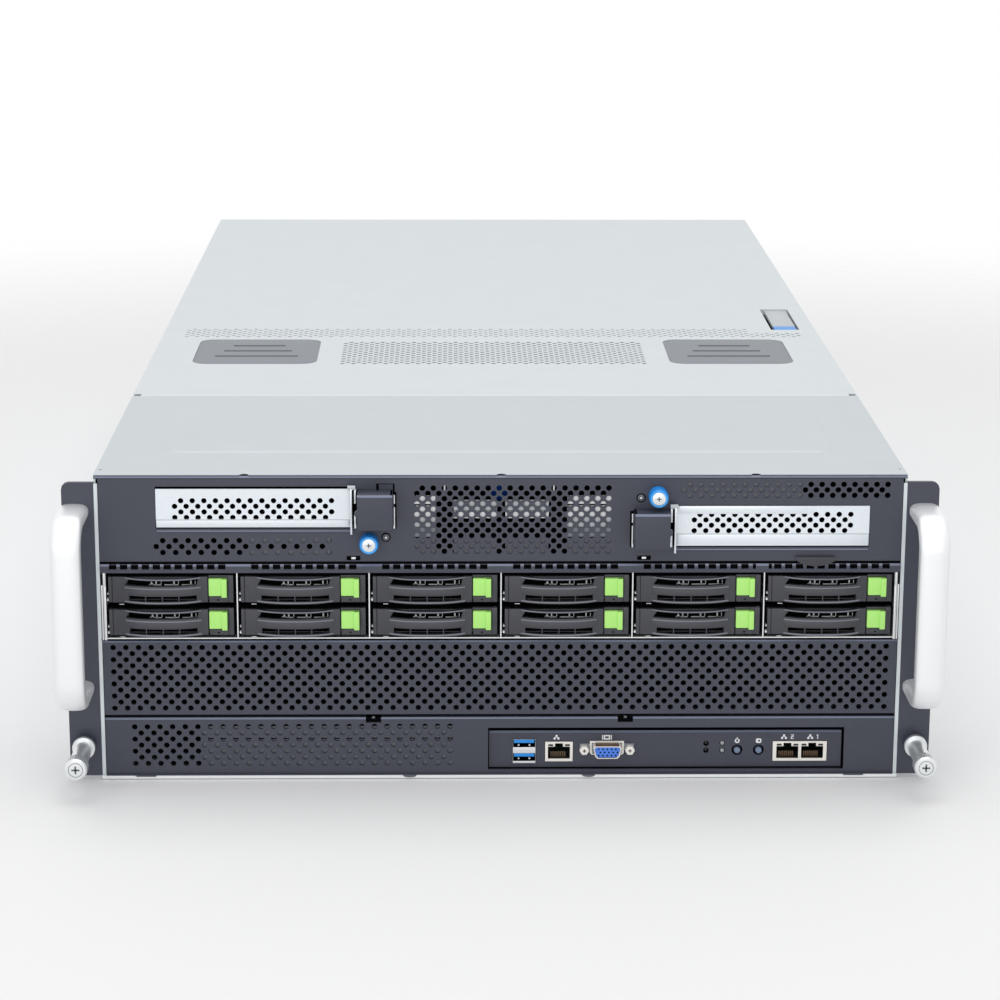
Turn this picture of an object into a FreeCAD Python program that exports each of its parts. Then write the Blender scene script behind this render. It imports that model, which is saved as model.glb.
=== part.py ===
import FreeCAD, Part
import math
import os

V = FreeCAD.Vector

# Rack server, 4U, millimetres. Seen from the front, +X is right, +Y is towards the rear and +Z is up.
# The origin lies under the middle of the front panels: z = 0 is the underside, y = 0 the panels' front face.

# Sheets and gaps
SHEET = 1.2
PANEL_T = 1.5
HEM = 0.8
HEM_D = 10.0
FIT = 0.3

# Rack fit: the screw spacing sets the width of the chassis between the ears
RACK_SCREW_SPACING = 465.1
RACK_SCREW_SIDE = 9.05
EAR_EDGE = 8.75
HALF = RACK_SCREW_SPACING / 2 - RACK_SCREW_SIDE
EAR_W = RACK_SCREW_SIDE + EAR_EDGE

# Drive bays for 2.5-inch drives lying flat
BAY_COLUMNS = 6
BAY_ROWS = 2
ROW_PITCH = 18.9
DIVIDER = 1.0
CAGE_WALL = 1.2
CAGE_D = 128.0
CAGE_SIDE_GAP = 2.6
LEDGE_W = 3.0
LEDGE_T = 1.0
LEDGE_IN = 12.0

# Front bands, from the bottom up
LIP_H = 2.4
LOWER_H = 34.0
BAND_GAP = 2.0
GRILLE_H = 42.0
CAGE_GAP = 0.8
STRIP_H = 5.8
UPPER_H = 48.0
CAP_H = 3.3
FLANGE_D = 9.0
VENT_WEB = 0.55

# Depth
CHASSIS_D = 900.0
COVER_D = 202.0
SEAM = 0.8

# Rack ears, bow handles and captive screws
EAR_T = 2.5
EAR_FOOT = 1.6
EAR_FLANGE_D = 46.0
EAR_CORNER = 4.0
HANDLE_W = 16.6
HANDLE_T = 9.0
HANDLE_REACH = 42.0
HANDLE_BEND = 14.0
HANDLE_SIDES = 10
HANDLE_STEPS = 4
HANDLE_PITCH = 101.6
HANDLE_LOW_Z = 53.2
RACK_SCREW_Z = 20.8
RACK_SCREW_ROOM = 15.0
RACK_STUD_R = 2.5
RACK_STUD_FIT = 0.4
RACK_STUD_L = 14.0
RACK_NECK_R = 2.1
RACK_NECK_OUT = 1.0
RACK_BARREL_R = 4.5
RACK_HEAD_R = 6.1
RACK_HEAD_L = 10.0
RACK_SCREW_REACH = 39.0
RACK_RING_R = 5.95
RACK_RING_L = 4.0

# Upper front panel
SLOT_W = 108.4
SLOT_H = 23.9
SLOT_LEFT_IN = 85.4
SLOT_LEFT_RISE = 30.7
SLOT_RIGHT_IN = 72.0
SLOT_RIGHT_RISE = 19.9
SLOT_VENT_GAP = 14.2
SLOT_COVER_T = 1.0
SLOT_TAB = 4.0
SLOT_TAB_OVER = 1.8
LATCH_W = 18.6
LATCH_H = 20.2
LATCH_REACH = 11.5
LATCH_T = 1.2
LATCH_STEP = 5.6
HINGE_OUT = 2.6
HINGE_SIDE = 2.4
PIN_R = 0.85
PIN_FIT = 0.1
KNOB_R = 5.4
KNOB_L = 8.0
KNOB_DISC_R = 3.8
KNOB_SHANK_R = 1.5
KNOB_DROP = 19.4
KNOB_RISE = 17.6
KNOB_STEP = 63.0
SLOTS_PER_BAY = 2
SLOT_HOLE_W = 26.0
SLOT_HOLE_H = 3.0
PANEL_VENT_PITCH = 23.0
GRILLE_PITCH = 26.0
LID_VENT_PITCH = 46.0
LID_STRIP_PITCH = 36.0

# Carrier, lever and release button
BEZEL_GAP = 4.2
BEZEL_H = 15.5
BEZEL_FRONT = -0.4
BEZEL_FACE = 2.0
BEZEL_BACK = 10.0
RAIL_T = 0.6
RAIL_GAP = 0.4
TRAY_END = 116.0
DRIVE_GAP = 0.3
DRIVE_L = 100.0
DRIVE_H = 15.0
LEVER_T = 2.8
LEVER_BULGE = 3.8
LEVER_H = 13.2
LEVER_BAR_H = 4.9
LEVER_SEGMENTS = 4
PIVOT_INSET = 3.0
RELEASE_W = 9.4
RELEASE_H = 9.1
RELEASE_RISE = 1.35
RELEASE_REACH = 2.6
RELEASE_TRAVEL = 1.8
RELEASE_INSET = 3.4
RELEASE_RIB = 2.8
RELEASE_RIB_DROP = 0.8

# Port field in the lower panel
PORT_SIDE = 27.8
PORT_W = 200.4
PORT_Z = (5.1, 28.5)
PORT_DEPTH = 3.0
BOARD_RISE = 5.6
BOARD_T = 1.6
SOCKET_MID = 7.4
JACK_AT = (40.0, 167.7, 183.3)
JACK_W = 15.6
JACK_H = 13.2
JACK_L = 21.0
JACK_HOLE_W = 11.8
JACK_HOLE_H = 8.2
JACK_HOLE_D = 13.0
JACK_HOLE_RISE = 1.8
USB_AT = 20.4
USB_W = 12.8
USB_H = 14.2
USB_L = 17.0
VIDEO_AT = 67.0
VIDEO_W = 17.8
VIDEO_LOW_W = 14.8
VIDEO_H = 11.2
VIDEO_BODY_W = 30.0
JACKSCREW_OFF = 12.6
BUTTON_AT = (140.5, 152.6)
PINHOLE_AT = 123.0
LIGHT_AT = 131.6
BUTTON_R = 2.45
BUTTON_HOLE_R = 2.8
BUTTON_TRAVEL = 1.2

# Lid fittings
LID_TRAVEL = 15.0
LID_FLANGE_H = 10.0
EMBOSS_SIDE = 33.5
EMBOSS_Y = (52.0, 170.0)
EMBOSS_DEPTH = 1.0
PAD_SIDE = 27.5
PAD_W = 81.0
PAD_Y = (297.5, 379.0)
PAD_RIM = 3.0
PAD_R = 10.0
PAD_LINES = (34.5, 45.0, 54.6)
LID_VENT_GAP = 15.0
LID_VENT_FRONT = 1.5
LID_VENT_REAR = 8.0
LID_STRIP_FRONT = 17.0
LID_STRIP_REAR = 3.0
LID_TONGUE_SIDE = 20.0
LID_TONGUE_REACH = 9.0
LID_TONGUE_FOOT = 6.0
LID_FLANGE_START = 8.0
LID_FLANGE_REST = 2.0
PAD_LINE_START = 20.0
PAD_LINE_STEP = 19.0
PAD_LINE_W = 2.4
PAD_SINK = 0.4
LID_LATCH_SIDE = 11.0
LID_LATCH_W = 18.7
LID_LATCH_Y = (411.0, 487.0)
LID_LATCH_T = 2.4
LID_LATCH_GAP = 1.5
LID_LATCH_FINGER = 6.0
LID_TIP_T = 2.5
LID_TIP_H = 5.0
LID_PAN_DEPTH = 7.0
LID_PIVOT_R = 2.2

# Inside and rear
FAN_SIZE = 120.0
FAN_DEPTH = 38.0
FAN_PITCH = 132.0
FAN_Y = 432.0
FAN_BORE_R = 57.0
FAN_HUB_R = 21.0
FAN_BLADES = 5
PSU_W = 73.5
PSU_H = 40.0
PSU_L = 185.0
PSU_PITCH = 77.0
PSU_SIDE = 48.5
REAR_SLOT_PITCH = 20.32
REAR_SLOT_H = 104.0
REAR_SLOT_Z = 20.0
REAR_SLOT_SIDE = 40.3
REAR_SLOT_GAP = 30.0
TAB_SIDE = 24.5
TAB_W = 11.0
LOWER_VENT_SIDE = 17.2
LOWER_VENT_GAP = 22.0
LOWER_VENT_LOW = 3.0
LOWER_VENT_HIGH = 31.1
BOARD_LEFT = 23.5
BOARD_RIGHT = 17.5
BOARD_REAR_GAP = 22.0
COOLER_X = 96.0
COOLER_W = 80.0
COOLER_Y = (190.0, 300.0)
COOLER_H = 64.0
COOLER_FINS = 7
MEMORY_L = 133.0
MEMORY_H = 34.0
MEMORY_T = 4.0
MEMORY_PITCH = 9.0
CARD_BOARD_L = 325.0
CARD_BOARD_END = 20.0
CARD_SOCKET_L = 90.0
RAIL_HOLE_R = 2.1
RAIL_HOLE_Z = 60.0
RAIL_HOLE_Y = (150.0, 640.0)

# Sizes that follow from those above
CAGE_HALF = HALF - SHEET - CAGE_SIDE_GAP
BAY_PITCH = (2 * (CAGE_HALF - CAGE_WALL) + DIVIDER) / BAY_COLUMNS
PANEL_HALF = HALF - SHEET - HEM - FIT
HANDLE_X = HALF + EAR_W - HANDLE_W / 2
LOWER_Z = (LIP_H, LIP_H + LOWER_H)
GRILLE_Z = (LOWER_Z[1] + BAND_GAP, LOWER_Z[1] + BAND_GAP + GRILLE_H)
CAGE_Z = (GRILLE_Z[1] + CAGE_GAP, GRILLE_Z[1] + CAGE_GAP + BAY_ROWS * ROW_PITCH + 2 * CAGE_WALL)
STRIP_Z = (CAGE_Z[1] - CAGE_WALL, CAGE_Z[1] - CAGE_WALL + STRIP_H)
UPPER_Z = (STRIP_Z[1] + FIT, STRIP_Z[1] + FIT + UPPER_H)
TOP = UPPER_Z[1] + SHEET
WALL_TOP = UPPER_Z[1] - FIT
CAP_Z = UPPER_Z[1] - CAP_H
BOARD_Z = SHEET + BOARD_RISE
BOARD_TOP = BOARD_Z + BOARD_T
SLOT_LEFT_X = SLOT_LEFT_IN - PANEL_HALF
SLOT_RIGHT_X = PANEL_HALF - SLOT_RIGHT_IN
SLOT_LEFT_Z = UPPER_Z[0] + SLOT_LEFT_RISE
SLOT_RIGHT_Z = UPPER_Z[0] + SLOT_RIGHT_RISE
PORT_X = (PANEL_HALF - PORT_SIDE - PORT_W, PANEL_HALF - PORT_SIDE)
PORT_FLOOR = PORT_DEPTH + SHEET
USB_X = PORT_X[0] + USB_AT
VIDEO_X = PORT_X[0] + VIDEO_AT
SOCKET_Z = BOARD_TOP + SOCKET_MID
EMBOSS_X = HALF - EMBOSS_SIDE
PAD_X = (HALF - PAD_SIDE - PAD_W, HALF - PAD_SIDE)
LID_LATCH_X = (HALF - LID_LATCH_SIDE - LID_LATCH_W, HALF - LID_LATCH_SIDE)
PSU_X = PSU_SIDE - HALF
PSU_RIGHT = PSU_X + PSU_PITCH + PSU_W / 2
REAR_SLOTS = int((HALF - REAR_SLOT_SIDE - PSU_RIGHT - REAR_SLOT_GAP) / REAR_SLOT_PITCH)
REAR_SLOT_SPAN = REAR_SLOTS * REAR_SLOT_PITCH
REAR_SLOT_X = HALF - REAR_SLOT_SIDE - REAR_SLOT_SPAN
TAB_X = HALF - TAB_SIDE
BAY_CLEAR = BAY_PITCH - DIVIDER
TRAY_HALF = BAY_CLEAR / 2 - RAIL_GAP
TRAY_LOW = FIT - ROW_PITCH / 2
BEZEL_W = BAY_PITCH - BEZEL_GAP
DRIVE_W = 2 * (TRAY_HALF - RAIL_T - DRIVE_GAP)
PIVOT_X = PIVOT_INSET - BEZEL_W / 2
RELEASE_X = BEZEL_W / 2 - RELEASE_INSET - RELEASE_W
LEVER_END = RELEASE_X - 2 * FIT - 0.5
RELEASE_Z = (RELEASE_RISE - RELEASE_H / 2, RELEASE_RISE + RELEASE_H / 2)


def box(x, y, z):
    """Block between two corners, each axis given as a low and a high value."""
    return Part.makeBox(x[1] - x[0], y[1] - y[0], z[1] - z[0], V(x[0], y[0], z[0]))


def about(centre, size):
    """Span of a size about a centre."""
    return (centre - size / 2, centre + size / 2)


def fuse(shapes):
    """One solid from pieces that touch or overlap."""
    return shapes[0].multiFuse(shapes[1:]).removeSplitter()


def front_at(depth):
    """Maps a point of a front view to the plane at a depth."""
    return lambda u, v: V(u, depth, v)


def top_at(height):
    """Maps a point of a top view to the plane at a height."""
    return lambda u, v: V(u, v, height)


def side_at(offset):
    """Maps a point of a side view to the plane at an offset to the right."""
    return lambda u, v: V(offset, u, v)


def plate(loops, place, direction):
    """Sheet from an outer loop and its hole loops, laid on a plane and thickened."""
    wires = [Part.makePolygon([place(*p) for p in loop + loop[:1]]) for loop in loops]
    return Part.makeFace(wires, "Part::FaceMakerBullseye").extrude(direction)


def front_plate(loops, y):
    return plate(loops, front_at(y[0]), V(0, y[1] - y[0], 0))


def top_plate(loops, z):
    return plate(loops, top_at(z[0]), V(0, 0, z[1] - z[0]))


def side_plate(loops, x):
    return plate(loops, side_at(x[0]), V(x[1] - x[0], 0, 0))


def rect(u, v):
    return [(u[0], v[0]), (u[1], v[0]), (u[1], v[1]), (u[0], v[1])]


def ring(u, v, radius, sides=12):
    """Regular polygon with a flat at the bottom."""
    turn = 2 * math.pi / sides
    return [
        (u + radius * math.sin(turn * (k + 0.5)), v - radius * math.cos(turn * (k + 0.5)))
        for k in range(sides)
    ]


def rounded(u, v, radius, steps=2):
    """Rectangle with rounded corners."""
    centres = [
        (u[1] - radius, v[0] + radius, -90),
        (u[1] - radius, v[1] - radius, 0),
        (u[0] + radius, v[1] - radius, 90),
        (u[0] + radius, v[0] + radius, 180),
    ]
    loop = []
    for cu, cv, start in centres:
        for k in range(steps + 1):
            a = math.radians(start + 90 * k / steps)
            loop.append((cu + radius * math.cos(a), cv + radius * math.sin(a)))
    return loop


def vent(u, v, pitch):
    """Staggered field of four-sided holes that fits in two spans."""
    reach = pitch / 2 * VENT_WEB
    rows = 1 + max(0, int((v[1] - v[0] - 2 * reach) / (pitch / 2)))
    columns = 1 + max(1, int((u[1] - u[0] - 2 * reach) / pitch))
    u0 = (u[0] + u[1] - (columns - 1) * pitch) / 2
    v0 = (v[0] + v[1] - (rows - 1) * pitch / 2) / 2
    loops = []
    for r in range(rows):
        odd = r % 2
        for c in range(columns - odd):
            cu = u0 + (c + odd / 2) * pitch
            cv = v0 + r * pitch / 2
            loops.append([(cu, cv - reach), (cu + reach, cv), (cu, cv + reach), (cu - reach, cv)])
    return loops


def hole_r(radius, sides):
    """Corner radius of a polygon hole that clears a round of a given radius."""
    return radius / math.cos(math.pi / sides)


def turned(u, v, radius, y, sides=16):
    """Round bar along Y."""
    return front_plate([ring(u, v, radius, sides)], y)


def chassis_tub():
    """Floor, side walls with hemmed front edges, rear wall, front lip and board posts."""
    floor = box((-HALF, HALF), (-SHEET - FIT, CHASSIS_D), (0, SHEET))
    lip = box((-HALF, HALF), (-SHEET - FIT, -FIT), (0, LIP_H))
    for x in (-1, 1):
        lip = lip.cut(box(about(x * TAB_X, TAB_W), (-SHEET - 1, 1), (SHEET, LIP_H + 1)))
    pieces = [floor, lip]
    side = [(0, 0), (CHASSIS_D, 0), (CHASSIS_D, WALL_TOP), (PANEL_T + FIT, WALL_TOP)]
    side += [(PANEL_T + FIT, CAP_Z - FIT), (0, CAP_Z - FIT)]
    for x in (-1, 1):
        pieces.append(side_plate([side], sorted((x * HALF, x * (HALF - SHEET)))))
        hem = sorted((x * (HALF - SHEET), x * (HALF - SHEET - HEM)))
        pieces.append(box(hem, (0, HEM_D), (SHEET, CAP_Z - FIT)))
    holes = []
    for k in range(2):
        holes.append(rect(about(PSU_X + k * PSU_PITCH, PSU_W + 2 * FIT), (SHEET, SHEET + PSU_H + 2 * FIT)))
    rear = [rect((-HALF, HALF), (0, WALL_TOP))]
    rear.append(rect((REAR_SLOT_X, REAR_SLOT_X + REAR_SLOT_SPAN), (REAR_SLOT_Z, REAR_SLOT_Z + REAR_SLOT_H)))
    for k in range(5):
        z = SHEET + PSU_H + 20.0 + k * 20.0
        for u in (PSU_X, PSU_X + PSU_PITCH):
            rear.append(rect(about(u, 60.0), about(z, 6.0)))
    for u in (REAR_SLOT_X + REAR_SLOT_SPAN / 4, REAR_SLOT_X + REAR_SLOT_SPAN * 3 / 4):
        for z in (WALL_TOP - 34.0, WALL_TOP - 20.0):
            rear.append(rect(about(u, 80.0), about(z, 6.0)))
    wall = front_plate(rear, (CHASSIS_D - SHEET, CHASSIS_D))
    pieces.append(wall)
    for x in (-150.0, 0.0, 150.0):
        for y in (30.0, FAN_Y - BOARD_REAR_GAP - 20.0):
            pieces.append(top_plate([ring(x, y, 3.0, 4)], (SHEET, BOARD_Z)))
    for x in (REAR_SLOT_X + 5.0, REAR_SLOT_X + REAR_SLOT_SPAN - 5.0):
        for y in (CHASSIS_D - CARD_BOARD_L, CHASSIS_D - 2 * CARD_BOARD_END):
            pieces.append(top_plate([ring(x, y, 3.0, 4)], (SHEET, BOARD_Z)))
    tub = fuse(pieces)
    for loop in holes:
        tub = tub.cut(front_plate([loop], (CHASSIS_D - SHEET - 1, CHASSIS_D + 1)))
    for y in RAIL_HOLE_Y:
        drill = Part.makeCylinder(RAIL_HOLE_R, 2 * HALF + 2, V(-HALF - 1, y, RAIL_HOLE_Z), V(1, 0, 0))
        tub = tub.cut(drill)
    return tub


def front_top_cover():
    """Fixed cover over the front third, with a wide embossed field."""
    z0 = TOP - SHEET
    field = rounded((-EMBOSS_X, EMBOSS_X), EMBOSS_Y, 12.0)
    wide = rounded((-EMBOSS_X - SHEET, EMBOSS_X + SHEET), (EMBOSS_Y[0] - SHEET, EMBOSS_Y[1] + SHEET), 12.0)
    low = z0 - EMBOSS_DEPTH
    pieces = [
        top_plate([rect((-HALF, HALF), (0, COVER_D)), field], (z0, TOP)),
        top_plate([wide], (low, z0)),
        top_plate([field], (low, TOP - EMBOSS_DEPTH)),
    ]
    for x in (-1, 1):
        inner = HALF - SHEET - FIT
        span = sorted((x * inner, x * (inner - SHEET)))
        pieces.append(box(span, (HEM_D + FLANGE_D, COVER_D - 12.0), (z0 - LID_FLANGE_H, z0)))
    return fuse(pieces)


def lid_latch_window():
    return ((LID_LATCH_X[0] - LID_LATCH_GAP, LID_LATCH_X[1] + LID_LATCH_GAP),
            (LID_LATCH_Y[0] - LID_LATCH_FINGER, LID_LATCH_Y[1] + LID_LATCH_GAP))


def top_lid():
    """Sliding lid with vents, two grip pads and the pan that the latch lies in."""
    z0 = TOP - SHEET
    y0 = COVER_D + SEAM
    win_x, win_y = lid_latch_window()
    loops = [rect((-HALF, HALF), (y0, CHASSIS_D))]
    loops.append(rect(win_x, win_y))
    middle = PAD_X[0] - LID_VENT_GAP
    loops += vent((-middle, middle), (PAD_Y[0] + LID_VENT_FRONT, PAD_Y[1] - LID_VENT_REAR), LID_VENT_PITCH)
    strip = (LID_VENT_GAP - HALF, LID_LATCH_X[0] - LID_VENT_GAP)
    strip_y = (PAD_Y[1] + LID_STRIP_FRONT, LID_LATCH_Y[0] + LID_STRIP_REAR)
    loops += vent(strip, strip_y, LID_STRIP_PITCH)
    for x in (-1, 1):
        loops.append(rounded(sorted((x * PAD_X[0], x * PAD_X[1])), PAD_Y, PAD_R))
    pieces = [top_plate(loops, (z0, TOP))]
    end = CHASSIS_D - SHEET - LID_TRAVEL - LID_FLANGE_REST
    for x in (-1, 1):
        inner = HALF - SHEET - FIT
        span = sorted((x * inner, x * (inner - SHEET)))
        pieces.append(box(span, (y0 + LID_FLANGE_START, end), (z0 - LID_FLANGE_H, z0)))
    tongue_z = z0 - FIT - SHEET
    tongue_x = (LID_TONGUE_SIDE - HALF, HALF - LID_TONGUE_SIDE)
    foot = y0 + LID_TONGUE_FOOT
    pieces.append(box(tongue_x, (COVER_D - LID_TONGUE_REACH, foot), (tongue_z, z0 - FIT)))
    pieces.append(box(tongue_x, (y0, foot), (z0 - FIT, z0)))
    pan_x = (win_x[0] - SHEET, win_x[1] + SHEET)
    pan_y = (win_y[0] - SHEET, win_y[1] + SHEET)
    pan = box(pan_x, pan_y, (z0 - LID_PAN_DEPTH - SHEET, z0))
    pan = pan.cut(box(win_x, win_y, (z0 - LID_PAN_DEPTH, z0 + 1)))
    pin_y, pin_z = lid_pivot()
    bore = side_plate([ring(pin_y, pin_z, hole_r(PIN_R + PIN_FIT, 8), 8)], (pan_x[0] - 1, pan_x[1] + 1))
    pieces.append(pan.cut(bore))
    lid = fuse(pieces)
    pads = [grip_pad(x) for x in (-1, 1)]
    return Part.makeCompound([lid] + pads)


def grip_pad(side):
    """Moulded pad pressed into a lid window, with three raised lines of growing length."""
    z0 = TOP - SHEET
    x = sorted((side * PAD_X[0], side * PAD_X[1]))
    inset = 0.1
    body = rounded((x[0] + inset, x[1] - inset), (PAD_Y[0] + inset, PAD_Y[1] - inset), PAD_R)
    rim = rounded((x[0] - PAD_RIM, x[1] + PAD_RIM), (PAD_Y[0] - PAD_RIM, PAD_Y[1] + PAD_RIM), PAD_R)
    pieces = [top_plate([body], (z0, TOP - PAD_SINK)), top_plate([rim], (z0 - 1.2, z0))]
    centre = (x[0] + x[1]) / 2
    for k, length in enumerate(PAD_LINES):
        y = PAD_Y[1] - PAD_LINE_START - k * PAD_LINE_STEP
        pieces.append(box(about(centre, length), about(y, PAD_LINE_W), (z0, TOP)))
    return fuse(pieces)


def lid_pivot():
    """Axis of the lid latch, as its place along Y and Z."""
    return (LID_LATCH_Y[1] - LID_PIVOT_R, TOP - LID_PIVOT_R - 0.6)


def lid_latch():
    """Flat lever in the lid, hinged at its rear end, with a turned-down finger tip."""
    pin_y, pin_z = lid_pivot()
    win_x, win_y = lid_latch_window()
    top = TOP - PAD_SINK
    pieces = [
        box(LID_LATCH_X, (LID_LATCH_Y[0], pin_y), (top - LID_LATCH_T, top)),
        box(LID_LATCH_X, (LID_LATCH_Y[0], LID_LATCH_Y[0] + LID_TIP_T), (top - LID_TIP_H, top)),
        side_plate([ring(pin_y, pin_z, LID_PIVOT_R, 12)], LID_LATCH_X),
        side_plate([ring(pin_y, pin_z, PIN_R, 8)], (win_x[0] - SHEET / 2, win_x[1] + SHEET / 2)),
    ]
    return fuse(pieces)


def slot_places():
    """Centre of each front slot, and the side on which its latch stands."""
    return [(SLOT_LEFT_X, SLOT_LEFT_Z, 1), (SLOT_RIGHT_X, SLOT_RIGHT_Z, -1)]


def latch_hinge(slot_x, side):
    """Place of a slot latch's hinge axis across the panel."""
    return slot_x + side * (SLOT_W / 2 + LATCH_STEP - 2.8 + LATCH_W + HINGE_SIDE)


def knob_place(slot_x, slot_z, side):
    """Axis of the thumbscrew beside a slot."""
    rise = -KNOB_DROP if side > 0 else KNOB_RISE
    return (slot_x + side * KNOB_STEP, slot_z + rise)


def upper_front_panel():
    """Black panel above the drives with its vents and slot windows, and the slotted strip under it."""
    cap = (CAP_Z, UPPER_Z[1])
    outline = [(-PANEL_HALF, UPPER_Z[0]), (PANEL_HALF, UPPER_Z[0]), (PANEL_HALF, cap[0]), (HALF, cap[0])]
    outline += [(HALF, cap[1]), (-HALF, cap[1]), (-HALF, cap[0]), (-PANEL_HALF, cap[0])]
    loops = [outline]
    for x, z, side in slot_places():
        loops.append(rect(about(x, SLOT_W), about(z, SLOT_H)))
        knob_x, knob_z = knob_place(x, z, side)
        loops.append(ring(knob_x, knob_z, hole_r(KNOB_SHANK_R + PIN_FIT, 8), 8))
    left = latch_hinge(SLOT_LEFT_X, 1) + SLOT_VENT_GAP
    right = latch_hinge(SLOT_RIGHT_X, -1) - SLOT_VENT_GAP
    loops += vent((left, right), (UPPER_Z[0] + 4.0, UPPER_Z[1] - 5.0), PANEL_VENT_PITCH)
    loops += vent(about(SLOT_LEFT_X - 5.0, 0.85 * SLOT_W), about(UPPER_Z[0] + 9.0, 10.0), PANEL_VENT_PITCH)
    loops += vent(about(SLOT_RIGHT_X + 8.0, 0.95 * SLOT_W), about(UPPER_Z[1] - 7.5, 10.0), PANEL_VENT_PITCH)
    pieces = [front_plate(loops, (0, PANEL_T))]
    flange_z = (UPPER_Z[1] - PANEL_T, UPPER_Z[1])
    pieces.append(box((-PANEL_HALF, PANEL_HALF), (0, FLANGE_D), flange_z))
    for x, z, side in slot_places():
        hinge = latch_hinge(x, side)
        for end in (-1, 1):
            lug_z = sorted((z + end * 7.3, z + end * 9.5))
            lug = box(about(hinge, 3.2), (-HINGE_OUT - 1.6, 0), lug_z)
            pin = ring(hinge, -HINGE_OUT, hole_r(PIN_R + PIN_FIT, 8), 8)
            pieces.append(lug.cut(top_plate([pin], (lug_z[0] - 1, lug_z[1] + 1))))
    return Part.makeCompound([fuse(pieces), slotted_strip()])


def slotted_strip():
    """Slotted strip over the drives with a folded top edge."""
    loops = [rect((-PANEL_HALF, PANEL_HALF), STRIP_Z)]
    z = about(STRIP_Z[0] + 3.4, SLOT_HOLE_H)
    step = (BAY_PITCH - 8.0) / SLOTS_PER_BAY
    for c in range(BAY_COLUMNS):
        for k in range(SLOTS_PER_BAY):
            x = bay_x(c) + (k - (SLOTS_PER_BAY - 1) / 2) * step
            loops.append(rect(about(x, SLOT_HOLE_W), z))
    face = front_plate(loops, (-PANEL_T - FIT, -FIT))
    fold = box((-PANEL_HALF, PANEL_HALF), (-PANEL_T - FIT, FLANGE_D), (STRIP_Z[1] - 0.9, STRIP_Z[1]))
    return fuse([face, fold])


def slot_covers():
    """Perforated blank covers: two at the front and one in each rear slot."""
    covers = []
    for x, z, side in slot_places():
        w = SLOT_W - 2 * FIT
        h = SLOT_H - 2 * FIT
        field = vent(about(x - side * 2.0, 0.8 * SLOT_W), about(z + 2.0, 10.0), PANEL_VENT_PITCH)
        face = front_plate([rect(about(x, w), about(z, h))] + field, (FIT, FIT + SLOT_COVER_T))
        tab_x = sorted((x + side * w / 2, x + side * (w / 2 - SLOT_COVER_T)))
        tab = box(tab_x, (-SLOT_TAB, FIT), about(z, h))
        ears = box(tab_x, (-SLOT_TAB, -FIT), about(z, h + 2 * SLOT_TAB_OVER))
        fold = box(about(x, w), (-0.4, FIT), (z - h / 2, z - h / 2 + 4.4))
        far = x - side * w / 2
        joggle = box(sorted((far, far + side * 3.0)), (FIT, PANEL_T + 2 * FIT + 1.0), about(z, 10.0))
        tongue_y = (PANEL_T + FIT, PANEL_T + 2 * FIT + 1.0)
        tongue = box(sorted((far + side * 3.0, far - side * 6.0)), tongue_y, about(z, 10.0))
        covers.append(fuse([face, tab, ears, fold, joggle, tongue]))
    for k in range(REAR_SLOTS):
        x = REAR_SLOT_X + (k + 0.5) * REAR_SLOT_PITCH
        z = (REAR_SLOT_Z - 5.0, REAR_SLOT_Z + REAR_SLOT_H + 5.0)
        loops = [rect(about(x, REAR_SLOT_PITCH - 1.6), z)]
        loops.append(rect(about(x, 9.0), (REAR_SLOT_Z + 5.0, REAR_SLOT_Z + REAR_SLOT_H - 5.0)))
        covers.append(front_plate(loops, (CHASSIS_D - 2 * SHEET, CHASSIS_D - SHEET)))
    return Part.makeCompound(covers)


def slot_latch(slot_x, slot_z, side):
    """Hinged shell that holds the end of a slot cover."""
    hinge = latch_hinge(slot_x, side)
    near = hinge - side * HINGE_SIDE
    far = near - side * LATCH_W
    x = sorted((near, far))
    z = about(slot_z, LATCH_H)
    back = -0.8
    shell_y = (-LATCH_REACH, back)
    pieces = [
        box(x, (-LATCH_REACH, -LATCH_REACH + LATCH_T), z),
        box(x, shell_y, (z[1] - LATCH_T, z[1])),
        box(x, shell_y, (z[0], z[0] + LATCH_T)),
        box(sorted((near, near - side * LATCH_T)), shell_y, z),
        box(sorted((hinge, near - side * 0.5)), about(-HINGE_OUT, 1.4), about(slot_z, 13.8)),
        top_plate([ring(hinge, -HINGE_OUT, 1.4, 8)], about(slot_z, 13.8)),
        top_plate([ring(hinge, -HINGE_OUT, PIN_R, 8)], about(slot_z, 18.6)),
    ]
    return fuse(pieces)


def panel_screw(slot_x, slot_z, side):
    """Captive thumbscrew with a metal disc on its head."""
    x, z = knob_place(slot_x, slot_z, side)
    head = (-FIT - KNOB_L, -FIT)
    knob = turned(x, z, KNOB_R, head, 12)
    disc = turned(x, z, KNOB_DISC_R, (head[0] - 0.6, head[0]), 12)
    shank = turned(x, z, KNOB_SHANK_R, (-FIT, PANEL_T + 8.0), 8)
    return fuse([knob, disc, shank])


def bay_x(column):
    """Middle of a column of bays."""
    return (column - (BAY_COLUMNS - 1) / 2) * BAY_PITCH


def bay_z(row):
    """Middle height of a row of bays, counted from the top."""
    return CAGE_Z[0] + CAGE_WALL + (BAY_ROWS - 1 - row + 0.5) * ROW_PITCH


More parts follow.
